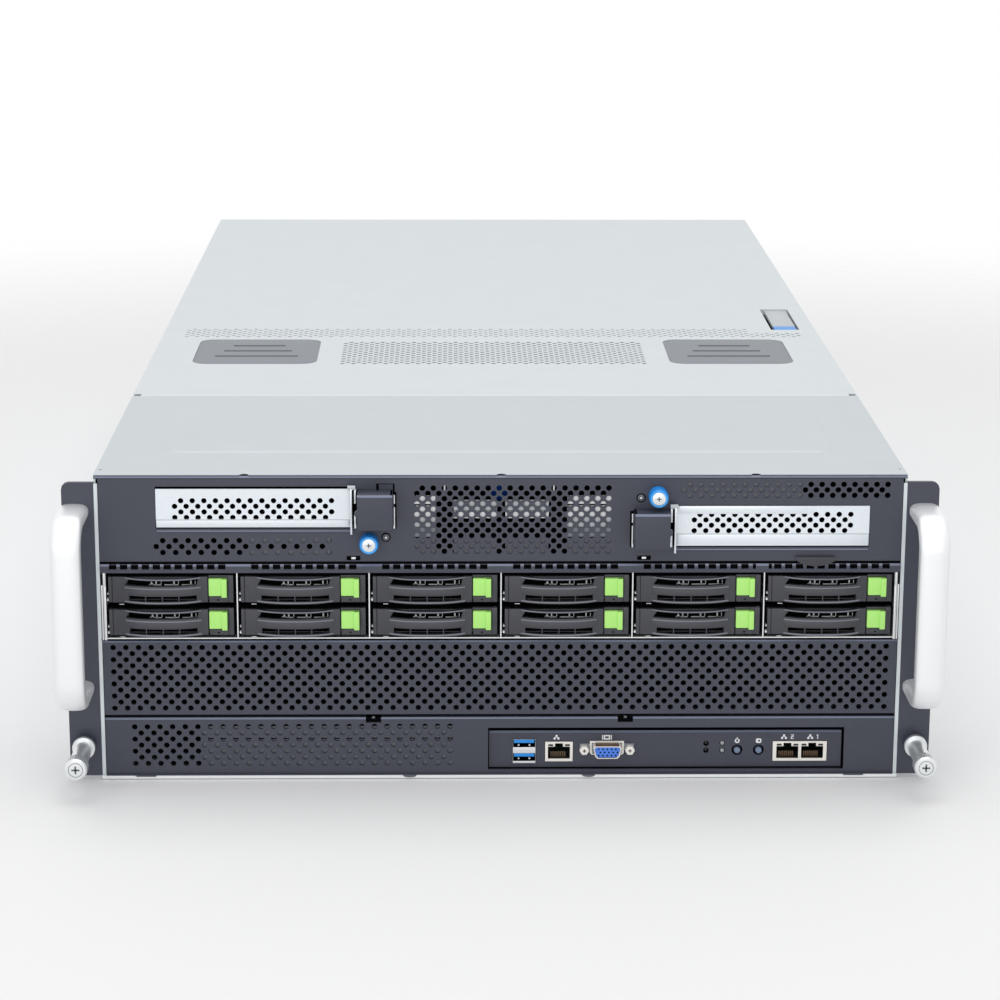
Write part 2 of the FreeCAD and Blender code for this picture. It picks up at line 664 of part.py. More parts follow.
def drive_cage():
    """Cage of six columns with guide ledges between the rows, fixed to the side walls by spacers."""
    loops = [rect((-CAGE_HALF, CAGE_HALF), CAGE_Z)]
    low = CAGE_Z[0] + CAGE_WALL
    high = CAGE_Z[1] - CAGE_WALL
    ledges = []
    for c in range(BAY_COLUMNS):
        x = about(bay_x(c), BAY_CLEAR)
        loops.append(rect(x, (low, high)))
        for r in range(1, BAY_ROWS):
            z = (low + r * ROW_PITCH - LEDGE_T, low + r * ROW_PITCH)
            ledges.append(box((x[0], x[0] + LEDGE_W), (LEDGE_IN, CAGE_D), z))
            ledges.append(box((x[1] - LEDGE_W, x[1]), (LEDGE_IN, CAGE_D), z))
    cage = front_plate(loops, (0, CAGE_D))
    spacers = []
    for x in (-1, 1):
        span = sorted((x * CAGE_HALF, x * (CAGE_HALF + CAGE_SIDE_GAP)))
        for y in (30.0, CAGE_D - 24.0):
            spacers.append(box(span, about(y, 12.0), (CAGE_Z[0] + 6.0, CAGE_Z[1] - 6.0)))
    return fuse([cage] + ledges + spacers)


def carrier_tray():
    """Tray of one carrier about its own middle: bezel, side rails and rear tie."""
    half_w = BEZEL_W / 2
    half_h = BEZEL_H / 2
    upper = (LEVER_BAR_H / 2 - 0.8, LEVER_H / 2 - 0.9)
    lower = (-LEVER_H / 2 + 0.9, -LEVER_BAR_H / 2 - 0.8)
    span = (PIVOT_X + 4.5, LEVER_END - 7.0)
    windows = [rect(span, upper), rect(span, lower)]
    block_x = (LEVER_END + FIT, half_w)
    pocket_x = (RELEASE_X - FIT, RELEASE_X + RELEASE_W + FIT)
    pocket_z = (RELEASE_Z[0] - RELEASE_RIB_DROP - FIT, RELEASE_Z[1] + FIT)
    rim = 0.85
    bezel = rect((-half_w, half_w), (-half_h, half_h))
    flange = rect((-TRAY_HALF, TRAY_HALF), (TRAY_LOW, half_h))
    pieces = [
        front_plate([bezel] + windows, (BEZEL_FACE, BEZEL_FACE + 3.0)),
        front_plate([flange] + windows, (BEZEL_FACE + 3.0, BEZEL_BACK)),
        box(block_x, (BEZEL_FRONT, BEZEL_BACK), (-half_h, half_h)),
        box((-half_w, block_x[0]), (BEZEL_FRONT, BEZEL_FACE), (half_h - rim, half_h)),
        box((-half_w, block_x[0]), (BEZEL_FRONT, BEZEL_FACE), (-half_h, -half_h + rim)),
        box(about(PIVOT_X, 4.4), (-2.0, BEZEL_FACE), (half_h - rim, half_h)),
        box(about(PIVOT_X, 4.4), (-2.0, BEZEL_FACE), (-half_h, -half_h + rim)),
        box((-TRAY_HALF, TRAY_HALF), (TRAY_END - 3.0, TRAY_END), (TRAY_LOW, TRAY_LOW + 6.0)),
    ]
    for x in (-1, 1):
        rail = sorted((x * TRAY_HALF, x * (TRAY_HALF - RAIL_T)))
        pieces.append(box(rail, (BEZEL_BACK, TRAY_END), (TRAY_LOW, 2.0)))
    tray = fuse(pieces)
    depth = RELEASE_REACH + RELEASE_TRAVEL + FIT
    tray = tray.cut(box(pocket_x, (BEZEL_FRONT - 1, depth), pocket_z))
    pin = ring(PIVOT_X, 0, hole_r(PIN_R + PIN_FIT, 6), 6)
    return tray.cut(top_plate([pin], (-half_h - 1, half_h + 1)).common(front_zone()))


def front_zone():
    """Space in front of the bezel face, where the hinge pins of a lever lie."""
    return box((-BEZEL_W, BEZEL_W), (-3.0, BEZEL_FACE - 0.2), (-BEZEL_H, BEZEL_H))


def drive_carrier():
    """Tray and the drive in it."""
    low = TRAY_LOW + 0.8
    drive = box(about(0, DRIVE_W), (BEZEL_BACK, BEZEL_BACK + DRIVE_L), (low, low + DRIVE_H))
    return Part.makeCompound([carrier_tray(), drive])


def carrier_lever():
    """Bowed lever about the middle of its bay, with two finger windows and hinge pins at its left end."""
    t = LEVER_T / 2
    ends = (PIVOT_X + 3.6, LEVER_END - 6.6)
    front = []
    back = []
    for k in range(LEVER_SEGMENTS + 1):
        s = k / LEVER_SEGMENTS
        x = ends[0] + s * (ends[1] - ends[0])
        bulge = LEVER_BULGE * (1 - (2 * s - 1) ** 2)
        front.append((x, -t - bulge))
        back.append((x, t - bulge))
    knuckle = []
    for k in range(5):
        a = math.radians(90 + 45 * k)
        knuckle.append((PIVOT_X + t * math.cos(a), t * math.sin(a)))
    outline = knuckle + front + [(LEVER_END, -t), (LEVER_END, t)] + back[::-1]
    half_h = LEVER_H / 2
    bar = top_plate([outline], (-half_h, half_h))
    span = (ends[0] + 1.5, ends[1] - 1.5)
    reach = (-LEVER_BULGE - t - 1, t + 1)
    bar = bar.cut(box(span, reach, (LEVER_BAR_H / 2 - 0.8, half_h - 0.9)))
    bar = bar.cut(box(span, reach, (-half_h + 0.9, -LEVER_BAR_H / 2 - 0.8)))
    pin = top_plate([ring(PIVOT_X, 0, PIN_R, 6)], about(0, BEZEL_H - 0.4))
    return fuse([bar, pin])


def carrier_release():
    """Green release button with a raised rib along its right edge."""
    right = RELEASE_X + RELEASE_W
    rib_z = (RELEASE_Z[0] - RELEASE_RIB_DROP, RELEASE_Z[1])
    return fuse([
        box((RELEASE_X, right), (-RELEASE_REACH, RELEASE_REACH), RELEASE_Z),
        box((right - RELEASE_RIB, right), (-RELEASE_REACH - 1.0, RELEASE_REACH), rib_z),
    ])


def middle_grille():
    """Perforated panel under the drives with folded upper and lower edges."""
    loops = [rect((-PANEL_HALF, PANEL_HALF), GRILLE_Z)]
    loops += vent((4.0 - PANEL_HALF, PANEL_HALF - 4.0), (GRILLE_Z[0] + 3.0, GRILLE_Z[1] - 3.0), GRILLE_PITCH)
    pieces = [front_plate(loops, (0, PANEL_T))]
    for z in ((GRILLE_Z[0], GRILLE_Z[0] + PANEL_T), (GRILLE_Z[1] - PANEL_T, GRILLE_Z[1])):
        pieces.append(box((-PANEL_HALF, PANEL_HALF), (0, FLANGE_D), z))
    return fuse(pieces)


def jack_places():
    """Middle of each network jack across the panel."""
    return [PORT_X[0] + at for at in JACK_AT]


def button_places():
    """Axes of the power and identification buttons."""
    return [(PORT_X[0] + at, SOCKET_Z) for at in BUTTON_AT]


def port_window():
    """Window of the lower panel that the port shield fills."""
    return ((PORT_X[0] - SHEET, PORT_X[1] + SHEET), (PORT_Z[0] - SHEET, PORT_Z[1] + SHEET))


def lower_front_panel():
    """Bottom panel with its vent, the window of the port shield and two tabs over the lip."""
    outline = [(-PANEL_HALF, LOWER_Z[0])]
    for x in (-TAB_X, TAB_X):
        a, b = about(x, TAB_W - 2 * FIT)
        outline += [(a, LOWER_Z[0]), (a, SHEET + FIT), (b, SHEET + FIT), (b, LOWER_Z[0])]
    outline += [(PANEL_HALF, LOWER_Z[0]), (PANEL_HALF, LOWER_Z[1]), (-PANEL_HALF, LOWER_Z[1])]
    vent_x = (LOWER_VENT_SIDE - PANEL_HALF, PORT_X[0] - LOWER_VENT_GAP)
    vent_z = (LOWER_Z[0] + LOWER_VENT_LOW, LOWER_Z[0] + LOWER_VENT_HIGH)
    loops = [outline, rect(*port_window())] + vent(vent_x, vent_z, PANEL_VENT_PITCH)
    face = front_plate(loops, (0, PANEL_T))
    fold = box((-PANEL_HALF, PANEL_HALF), (0, FLANGE_D), (LOWER_Z[1] - PANEL_T, LOWER_Z[1]))
    return fuse([face, fold])


def port_shield():
    """Sunk plate round the sockets and buttons, with a rim that fills the panel's window."""
    window = rect(*port_window())
    rim = front_plate([window, rect(PORT_X, PORT_Z)], (0, PORT_FLOOR))
    floor = front_plate([window], (PORT_DEPTH, PORT_FLOOR))
    through = (0, 2 * PORT_FLOOR)
    cuts = [front_plate([video_outline(FIT)], through)]
    usb_z = (BOARD_TOP - FIT, BOARD_TOP + USB_H + FIT)
    cuts.append(box(about(USB_X, USB_W + 2 * FIT), through, usb_z))
    for x in jack_places():
        cuts.append(box(about(x, JACK_W + 3 * FIT), through, (BOARD_TOP - FIT, BOARD_TOP + JACK_H + FIT)))
    for x, z in button_places():
        cuts.append(turned(x, z, hole_r(BUTTON_HOLE_R, 12), through, 12))
    for at, rise in ((PINHOLE_AT, 3.8), (PINHOLE_AT, -0.3), (LIGHT_AT, 4.7), (LIGHT_AT, -0.3)):
        cuts.append(turned(PORT_X[0] + at, SOCKET_Z + rise, 0.9, through, 6))
    for cut in cuts:
        floor = floor.cut(cut)
    return fuse([rim, floor])


def video_outline(grow):
    """D-shaped outline of the video socket's shell, grown by a clearance."""
    top, low, h = VIDEO_W / 2 + grow, VIDEO_LOW_W / 2 + grow, VIDEO_H / 2 + grow
    x, z = VIDEO_X, SOCKET_Z
    return [(x - low, z - h), (x + low, z - h), (x + top, z + h), (x - top, z + h)]


def io_ports():
    """Port shield, and the sockets that stand on the board's front edge."""
    front = PORT_DEPTH - 0.8
    solids = [port_shield()]
    usb_x = about(USB_X, USB_W)
    usb = box(usb_x, (front, front + USB_L), (BOARD_TOP, BOARD_TOP + USB_H))
    for k in range(2):
        z = (BOARD_TOP + 1.0 + k * 6.6, BOARD_TOP + 6.6 + k * 6.6)
        usb = usb.cut(box((usb_x[0] + 0.6, usb_x[1] - 0.6), (front - 1, front + 10.0), z))
        tongue_z = (z[0] + 2.8, z[0] + 4.6)
        usb = usb.fuse(box((usb_x[0] + 1.4, usb_x[1] - 1.4), (front + 1.2, front + 10.0), tongue_z))
    solids.append(usb)
    for x in jack_places():
        jack = box(about(x, JACK_W), (front, front + JACK_L), (BOARD_TOP, BOARD_TOP + JACK_H))
        z0 = BOARD_TOP + JACK_HOLE_RISE
        z1 = z0 + JACK_HOLE_H
        hole = box(about(x, JACK_HOLE_W), (front - 1, front + JACK_HOLE_D), (z0, z1))
        key = box(about(x, 5.0), (front - 1, front + JACK_HOLE_D), (z1, z1 + 2.0))
        solids.append(jack.cut(fuse([hole, key])))
    shell = front_plate([video_outline(0)], (front - 3.0, front + 9.0))
    hollow = front_plate([video_outline(-0.6)], (front - 4.0, front + 2.0))
    core = front_plate([video_outline(-1.6)], (front - 2.4, front + 4.0))
    body_y = (PORT_FLOOR + FIT, PORT_FLOOR + 12.0)
    body = box(about(VIDEO_X, VIDEO_BODY_W), body_y, (BOARD_TOP, BOARD_TOP + JACK_H))
    solids.append(fuse([shell.cut(hollow), core, body]))
    for side in (-1, 1):
        x = VIDEO_X + side * JACKSCREW_OFF
        solids.append(turned(x, SOCKET_Z, 2.7, (PORT_DEPTH - 4.6, PORT_DEPTH), 6))
    return Part.makeCompound(solids)


def push_button(place):
    """Round button with a collar behind the port field."""
    x, z = place
    rear = PORT_FLOOR + FIT
    return fuse([
        turned(x, z, BUTTON_R, (PORT_DEPTH - 1.4, rear), 12),
        turned(x, z, BUTTON_R + 1.2, (rear, rear + 1.2), 12),
        turned(x, z, 1.0, (rear + 1.2, rear + 3.0), 8),
    ])


def rack_ears():
    """Angle brackets on the side walls, with a bored ring for each captive screw."""
    solids = []
    top = CAP_Z + 0.3
    for x in (-1, 1):
        outer = HALF + EAR_W
        corner = [(outer - EAR_CORNER + EAR_CORNER * math.cos(math.radians(30 * k)),
                   top - EAR_CORNER + EAR_CORNER * math.sin(math.radians(30 * k))) for k in range(4)]
        loop = [(HALF, EAR_FOOT), (outer, EAR_FOOT)] + corner + [(HALF, top)]
        face = front_plate([[(x * u, v) for u, v in loop]], (0, EAR_T))
        flange_z = (RACK_SCREW_Z + RACK_SCREW_ROOM, top - 6.0)
        flange = box(sorted((x * HALF, x * (HALF + EAR_T))), (0, EAR_FLANGE_D), flange_z)
        screw_x = x * RACK_SCREW_SPACING / 2
        boss = turned(screw_x, RACK_SCREW_Z, RACK_RING_R, (-RACK_RING_L, 0), 12)
        bore = turned(screw_x, RACK_SCREW_Z, hole_r(RACK_STUD_R + RACK_STUD_FIT, 12), (-20, 20), 12)
        well = turned(screw_x, RACK_SCREW_Z, hole_r(RACK_BARREL_R + FIT, 12), (-20, -0.8), 12)
        solids.append(fuse([face, flange, boss]).cut(bore).cut(well))
    return Part.makeCompound(solids)


def handle_path():
    """Middle line of a handle in its side view: up from the ear, along the grip and back."""
    run = HANDLE_REACH - HANDLE_T / 2
    high = HANDLE_LOW_Z + HANDLE_PITCH
    path = [(0, HANDLE_LOW_Z)]
    for z, way in ((HANDLE_LOW_Z, 1), (high, -1)):
        bend = []
        for k in range(HANDLE_STEPS + 1):
            a = math.radians(90 * k / HANDLE_STEPS)
            y = HANDLE_BEND * (1 - math.sin(a)) - run
            bend.append((y, z + way * HANDLE_BEND * (1 - math.cos(a))))
        path += bend[::way]
    return path + [(0, high)]


def mitred_bar(path, section):
    """Bar with flat sides along a path in the side view; its section is given as (across, outward) pairs."""
    ways = []
    for a, b in zip(path, path[1:]):
        length = math.hypot(b[0] - a[0], b[1] - a[1])
        ways.append(((b[0] - a[0]) / length, (b[1] - a[1]) / length))
    rings = []
    for k, (y, z) in enumerate(path):
        first = ways[max(k - 1, 0)]
        last = ways[min(k, len(ways) - 1)]
        share = 1 + first[0] * last[0] + first[1] * last[1]
        out = (-(first[1] + last[1]) / share, (first[0] + last[0]) / share)
        rings.append([V(u, y + v * out[0], z + v * out[1]) for u, v in section])
    faces = [Part.Face(Part.makePolygon(r + r[:1])) for r in (rings[0], rings[-1])]
    for a, b in zip(rings, rings[1:]):
        for k in range(len(section)):
            n = (k + 1) % len(section)
            faces.append(Part.Face(Part.makePolygon([a[k], a[n], b[n], b[k], a[k]])))
    return Part.makeSolid(Part.makeShell(faces))


def ear_handles():
    """Brushed bow handles: a flattened bar with two equal bends, standing on the ear."""
    solids = []
    for x in (-1, 1):
        oval = ring(0, 0, HANDLE_T / 2, HANDLE_SIDES)
        section = [(x * HANDLE_X + u * HANDLE_W / HANDLE_T, v) for u, v in oval]
        solids.append(mitred_bar(handle_path(), section))
    return Part.makeCompound(solids)


def rack_screw(side):
    """Captive screw: knurled head, barrel, a neck through the ear and a threaded stud behind it."""
    x = side * RACK_SCREW_SPACING / 2
    z = RACK_SCREW_Z
    head_y = (-RACK_SCREW_REACH, -RACK_SCREW_REACH + RACK_HEAD_L)
    neck_end = EAR_T + RACK_NECK_OUT
    parts = [
        turned(x, z, RACK_HEAD_R, head_y, 12),
        turned(x, z, RACK_BARREL_R, (head_y[1], -1.0), 12),
        turned(x, z, RACK_NECK_R, (-1.0, neck_end), 8),
        Part.makeCylinder(RACK_STUD_R, RACK_STUD_L - RACK_NECK_OUT, V(x, neck_end, z), V(0, 1, 0)),
    ]
    return fuse(parts)


def main_board():
    """Circuit boards with coolers, memory modules and card sockets."""
    board_x = (BOARD_LEFT - HALF, HALF - BOARD_RIGHT)
    solids = [box(board_x, (PORT_FLOOR + 5.0, FAN_Y - BOARD_REAR_GAP), (BOARD_Z, BOARD_TOP))]
    base = BOARD_TOP + COOLER_H / 8
    middle = (COOLER_Y[0] + COOLER_Y[1]) / 2
    for x in (-COOLER_X, COOLER_X):
        fins = [box(about(x, COOLER_W), COOLER_Y, (BOARD_TOP, base))]
        step = (COOLER_W - 4.0) / (COOLER_FINS - 1)
        for k in range(COOLER_FINS):
            at = x + (k - (COOLER_FINS - 1) / 2) * step
            fins.append(box(about(at, 1.6), COOLER_Y, (base, BOARD_TOP + COOLER_H)))
        solids.append(fuse(fins))
        for k in range(4):
            for end in (-1, 1):
                at = x + end * (COOLER_W / 2 + 10.0 + k * MEMORY_PITCH)
                if abs(at) > 8.0:
                    module_z = (BOARD_TOP, BOARD_TOP + MEMORY_H)
                    solids.append(box(about(at, MEMORY_T), about(middle, MEMORY_L), module_z))
    solids.append(box((-CAGE_HALF, CAGE_HALF), (CAGE_D, CAGE_D + BOARD_T), CAGE_Z))
    end = CHASSIS_D - CARD_BOARD_END
    card_x = (REAR_SLOT_X, REAR_SLOT_X + REAR_SLOT_SPAN)
    solids.append(box(card_x, (end - CARD_BOARD_L, end), (BOARD_Z, BOARD_TOP)))
    for k in range(REAR_SLOTS // 2):
        x = REAR_SLOT_X + (2 * k + 1) * REAR_SLOT_PITCH
        socket_y = (end - 40.0 - CARD_SOCKET_L, end - 40.0)
        solids.append(box(about(x, 7.5), socket_y, (BOARD_TOP, BOARD_TOP + 11.0)))
    return Part.makeCompound(solids)


def fan_modules():
    """Three fan modules, each a square frame and its bladed rotor on a strutted hub."""
    solids = []
    y = (FAN_Y, FAN_Y + FAN_DEPTH)
    mid_z = SHEET + FAN_SIZE / 2
    for k in (-1, 0, 1):
        x = k * FAN_PITCH
        face = [rect(about(x, FAN_SIZE), about(mid_z, FAN_SIZE)), ring(x, mid_z, hole_r(FAN_BORE_R, 12), 12)]
        frame = [front_plate(face, y)]
        frame.append(turned(x, mid_z, FAN_HUB_R, (y[1] - 4.0, y[1]), 8))
        frame.append(box(about(x, 2 * FAN_BORE_R + 1.0), (y[1] - 4.0, y[1]), about(mid_z, 4.0)))
        solids.append(fuse(frame))
        rotor = [turned(x, mid_z, FAN_HUB_R, (y[0] + 3.0, y[1] - 4.3), 8)]
        for b in range(FAN_BLADES):
            blade = box((FAN_HUB_R - 3.0, FAN_BORE_R - 2.0), (-1.2, 1.2), (-17.0, 17.0))
            blade.rotate(V(0, 0, 0), V(1, 0, 0), 48.0)
            blade.rotate(V(0, 0, 0), V(0, 1, 0), 360.0 * b / FAN_BLADES)
            blade.translate(V(x, (y[0] + y[1]) / 2 - 1.0, mid_z))
            rotor.append(blade)
        solids.append(fuse(rotor))
    return Part.makeCompound(solids)


def power_supply(index):
    """Hot-swap supply with a fan grille, an inlet socket and a pull tab."""
    x = PSU_X + index * PSU_PITCH
    z = (SHEET + FIT, SHEET + FIT + PSU_H)
    end = CHASSIS_D + 1.0
    case = box(about(x, PSU_W), (CHASSIS_D - PSU_L, end), z)
    case = case.cut(box((x + 6.0, x + 32.0), (end - 16.0, end + 1), (z[0] + 10.0, z[0] + 30.0)))
    mid = (z[0] + z[1]) / 2
    for k in range(4):
        span = 30.0 - 6.0 * abs(k - 1.5)
        row = about(mid + (k - 1.5) * 7.0, 4.0)
        case = case.cut(box(about(x - 17.0, span), (end - 12.0, end + 1), row))
    pins = [box(about(x + 19.0 + p, 1.6), (end - 17.0, end - 5.0), about(mid, 5.0)) for p in (-6.0, 0.0, 6.0)]
    tab = box(about(x + 1.5, 3.0), (end - 2.0, end + 22.0), about(mid, 14.0))
    return fuse([case, tab] + pins)


def carriers():
    """Carrier, lever and release button of every bay."""
    tray, lever, release = drive_carrier(), carrier_lever(), carrier_release()
    nodes = {}
    for r in range(BAY_ROWS):
        for c in range(BAY_COLUMNS):
            number = r * BAY_COLUMNS + c + 1
            step = V(bay_x(c), 0, bay_z(r))
            nodes["drive_carrier_%02d" % number] = tray.translated(step)
            nodes["carrier_lever_%02d" % number] = lever.translated(step)
            nodes["carrier_release_%02d" % number] = release.translated(step)
    return nodes


def build():
    left, right = slot_places()
    nodes = {
        "chassis_tub": chassis_tub(),
        "front_top_cover": front_top_cover(),
        "top_lid": top_lid(),
        "lid_latch": lid_latch(),
        "upper_front_panel": upper_front_panel(),
        "slot_covers": slot_covers(),
        "slot_latch_left": slot_latch(*left),
        "slot_latch_right": slot_latch(*right),
        "panel_screw_left": panel_screw(*left),
        "panel_screw_right": panel_screw(*right),
        "drive_cage": drive_cage(),
        "middle_grille": middle_grille(),
        "lower_front_panel": lower_front_panel(),
        "io_ports": io_ports(),
        "power_button": push_button(button_places()[0]),
        "id_button": push_button(button_places()[1]),
        "rack_ears": rack_ears(),
        "ear_handles": ear_handles(),
        "rack_screw_left": rack_screw(-1),
        "rack_screw_right": rack_screw(1),
        "main_board": main_board(),
        "fan_modules": fan_modules(),
        "power_supply_1": power_supply(0),
        "power_supply_2": power_supply(1),
    }
    nodes.update(carriers())
    return nodes


if __name__ == "__main__":
    os.makedirs("parts", exist_ok=True)
    for name, shape in build().items():
        shape.exportStep("parts/%s.step" % name)
        print(name, shape.isValid(), len(shape.Solids), round(shape.Volume))
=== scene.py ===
# %% [markdown]
# # A four-unit rack server
# A rack server is a long drawer of folded sheet steel with everything that people touch on its front.
# The solids come from a CAD model and already sit in their places. This lesson swaps the plain ones
# for finer meshes with round perforation and soft edges, and gives each surface a procedural finish.

# %% Load the solids
import math

import bmesh
import bpy
from mathutils import Matrix, Vector
from mathutils.geometry import tessellate_polygon


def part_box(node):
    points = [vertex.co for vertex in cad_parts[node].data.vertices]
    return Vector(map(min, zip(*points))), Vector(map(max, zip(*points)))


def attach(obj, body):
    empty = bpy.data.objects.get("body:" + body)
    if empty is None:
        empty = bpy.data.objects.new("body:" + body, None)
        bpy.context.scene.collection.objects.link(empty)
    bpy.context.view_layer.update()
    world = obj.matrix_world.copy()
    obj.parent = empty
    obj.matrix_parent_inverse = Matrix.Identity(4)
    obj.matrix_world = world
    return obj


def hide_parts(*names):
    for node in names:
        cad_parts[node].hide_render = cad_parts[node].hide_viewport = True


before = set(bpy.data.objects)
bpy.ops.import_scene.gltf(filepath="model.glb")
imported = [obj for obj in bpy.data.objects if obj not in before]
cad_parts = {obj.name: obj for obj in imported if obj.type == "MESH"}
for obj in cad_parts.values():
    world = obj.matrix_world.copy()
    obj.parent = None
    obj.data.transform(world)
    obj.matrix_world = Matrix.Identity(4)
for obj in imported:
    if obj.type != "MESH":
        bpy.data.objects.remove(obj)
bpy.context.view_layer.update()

MM = 0.001


# %% [markdown]
# ## Measures taken from the solids
# The finer pieces must sit where the solids sit, so their main sizes are read from the solids' boxes
# and not typed again. Everything is in millimetres until a mesh is made.

# %% Measures
def spans(node):
    """Span of a solid along x, y and z."""
    low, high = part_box(node)
    return [(a / MM, b / MM) for a, b in zip(low, high)]


def about(centre, size):
    return (centre - size / 2, centre + size / 2)


def grown(span, by):
    return (span[0] - by, span[1] + by)


def flip(side, a, b):
    """Span between two distances, on the left (-1) or on the right (1)."""
    return sorted((side * a, side * b))


HALF = spans("chassis_tub")[0][1]
TOP = spans("top_lid")[2][1]
REAR = spans("chassis_tub")[1][1]
PANEL_HALF = spans("middle_grille")[0][1]
WIDE = (-PANEL_HALF, PANEL_HALF)
PANEL_T = 1.5
SHEET = 1.2
GAP = 0.3
FLANGE = 9.0
STRIP_H = 6.1
SEAM = 1.0
PANEL_Z = spans("upper_front_panel")[2]
UPPER_Z = (PANEL_Z[0] + STRIP_H, PANEL_Z[1])
STRIP_Z = (PANEL_Z[0], UPPER_Z[0] - GAP)
GRILLE_Z = (spans("middle_grille")[2][0] - SEAM, spans("middle_grille")[2][1])
LOWER_Z = (1.9, spans("lower_front_panel")[2][1] - SEAM)
print("chassis half width", round(HALF, 2), "top", round(TOP, 2), "rear", round(REAR, 2))


# %% [markdown]
# ## Small tools for meshes
# Each tool describes one closed shell, as a function that adds itself to a bmesh. A sheet with windows is
# a flat polygon with holes: it is cut into triangles, laid down twice, and walls join the two layers. A
# turned part is a profile swept about an axis. Closed shells matter, because the perforation below is a
# solid cut.

# %% Outlines
def front(y):
    """Lays a point of a front view on the plane at a depth."""
    return lambda u, v: Vector((u, y, v))


def plan(z):
    """Lays a point of a top view on the plane at a height."""
    return lambda u, v: Vector((u, v, z))


def rect(u, v):
    return [(u[0], v[0]), (u[1], v[0]), (u[1], v[1]), (u[0], v[1])]


def arc(u, v, wide, tall, start, sweep, steps):
    """Points along an ellipse, from a start angle through a sweep, both in degrees."""
    angles = [math.radians(start + sweep * k / steps) for k in range(steps + 1)]
    return [(u + wide * math.cos(a), v + tall * math.sin(a)) for a in angles]


def ring(u, v, radius, sides=24):
    return arc(u, v, radius, radius, 0, 360, sides)[:-1]


def rounded(u, v, radius, steps=5):
    """Rectangle with round corners."""
    u, v = grown(u, -radius), grown(v, -radius)
    corners = ((u[1], v[0], -90), (u[1], v[1], 0), (u[0], v[1], 90), (u[0], v[0], 180))
    return [point for cu, cv, start in corners for point in arc(cu, cv, radius, radius, start, 90, steps)]


# %% Shells
def bridge(bm, a, b):
    """Faces between two loops with the same number of points."""
    for k in range(len(a)):
        n = (k + 1) % len(a)
        bm.faces.new((a[k], a[n], b[n], b[k]))


def fill(bm, loops):
    """Triangles inside an outer loop and outside its hole loops."""
    joined = [v for loop in loops for v in loop]
    for tri in tessellate_polygon([[v.co for v in loop] for loop in loops]):
        bm.faces.new([joined[i] for i in tri])


def plate(loops, place, push):
    """Flat sheet from an outer loop and hole loops, thickened along a vector."""
    def add(bm):
        layers = [[[bm.verts.new((place(*p) + shift) * MM) for p in loop] for loop in loops]
                  for shift in (Vector((0, 0, 0)), Vector(push))]
        for layer in layers:
            fill(bm, layer)
        for low, high in zip(*layers):
            bridge(bm, low, high)
    return add


def box(x, y, z):
    return plate([rect(x, y)], plan(z[0]), (0, 0, z[1] - z[0]))


def bar(x, profile):
    """Bar along x with a side-view profile of (depth, height) pairs."""
    return plate([profile], lambda u, v: Vector((x[0], u, v)), (x[1] - x[0], 0, 0))


def brow(x, near, far, low, high, cut):
    """Bar whose upper front edge is cut back at 45 degrees, so that it catches light from above."""
    return bar(x, [(near, low), (near, high - cut), (near + cut, high), (far, high), (far, low)])


def skin(rows):
    """Closed tube through rows of points, with a face on each end."""
    def add(bm):
        made = [[bm.verts.new(Vector(point) * MM) for point in row] for row in rows]
        for a, b in zip(made, made[1:]):
            bridge(bm, a, b)
        bm.faces.new(made[0])
        bm.faces.new(made[-1])
    return add


def turned(profile, centre, steps=32, axis="y"):
    """Turned part: a profile of (along, radius) pairs swept about an axis through a centre."""
    order = {"x": (0, 1, 2), "y": (1, 0, 2), "z": (1, 2, 0)}[axis]
    rows = []
    for along, radius in profile:
        spots = [(along, c, s) for c, s in ring(0, 0, radius, steps)]
        rows.append([Vector([spot[i] for i in order]) + Vector(centre) for spot in spots])
    return skin(rows)


def cross(x, z, y, size, width):
    """Two thin crossed bars laid on a face where a screw's recess is; their dark colour is painted shade."""
    depth = (y, y + 0.1)
    return [box(about(x, size), depth, about(z, width)), box(about(x, width), depth, about(z, size))]


# %% From shells to objects
def link(name, mesh):
    piece = bpy.data.objects.new(name, mesh)
    bpy.context.scene.collection.objects.link(piece)
    return piece


def bake(piece):
    """Replaces a piece's mesh by what its modifiers make of it, shaded smooth but for its creases."""
    graph = bpy.context.evaluated_depsgraph_get()
    made = bpy.data.meshes.new_from_object(piece.evaluated_get(graph))
    old = piece.data
    piece.modifiers.clear()
    piece.data = made
    made.name = piece.name
    bpy.data.meshes.remove(old)
    made.shade_smooth()
    made.set_sharp_from_angle(angle=math.radians(35))
    return piece


def round_edges(piece, width, segments):
    edge = piece.modifiers.new("soft edges", "BEVEL")
    edge.width = width * MM
    edge.segments = segments
    edge.limit_method = "ANGLE"
    edge.angle_limit = math.radians(40)


def shape(name, material, shells, bevel=0.0):
    """Object made of closed shells, with a finish and, if asked, rounded edges."""
    bm = bmesh.new()
    for add in shells:
        add(bm)
    bmesh.ops.recalc_face_normals(bm, faces=bm.faces)
    mesh = bpy.data.meshes.new(name)
    bm.to_mesh(mesh)
    bm.free()
    mesh.materials.append(material)
    piece = link(name, mesh)
    if bevel:
        round_edges(piece, bevel, 2)
    return bake(piece)


# %% [markdown]
# ## Patterns that several finishes share
# Powder paint, zinc and brushed metal differ mostly in the pattern that breaks their gloss. Each pattern
# is a small node group that gives one value: an even grain, or a grain drawn out along one axis.

# %% Node tools
def feed(tree, node, inputs):
    """Gives each named input of a node a value, or a link from another node's output."""
    for name, value in inputs.items():
        if isinstance(value, bpy.types.NodeSocket):
            tree.links.new(value, node.inputs[name])
        else:
            node.inputs[name].default_value = value


def add_node(tree, kind, inputs=None, **settings):
    """New node with settings and inputs; gives its outputs."""
    node = tree.nodes.new(kind)
    for name, value in settings.items():
        setattr(node, name, value)
    feed(tree, node, inputs or {})
    return node.outputs


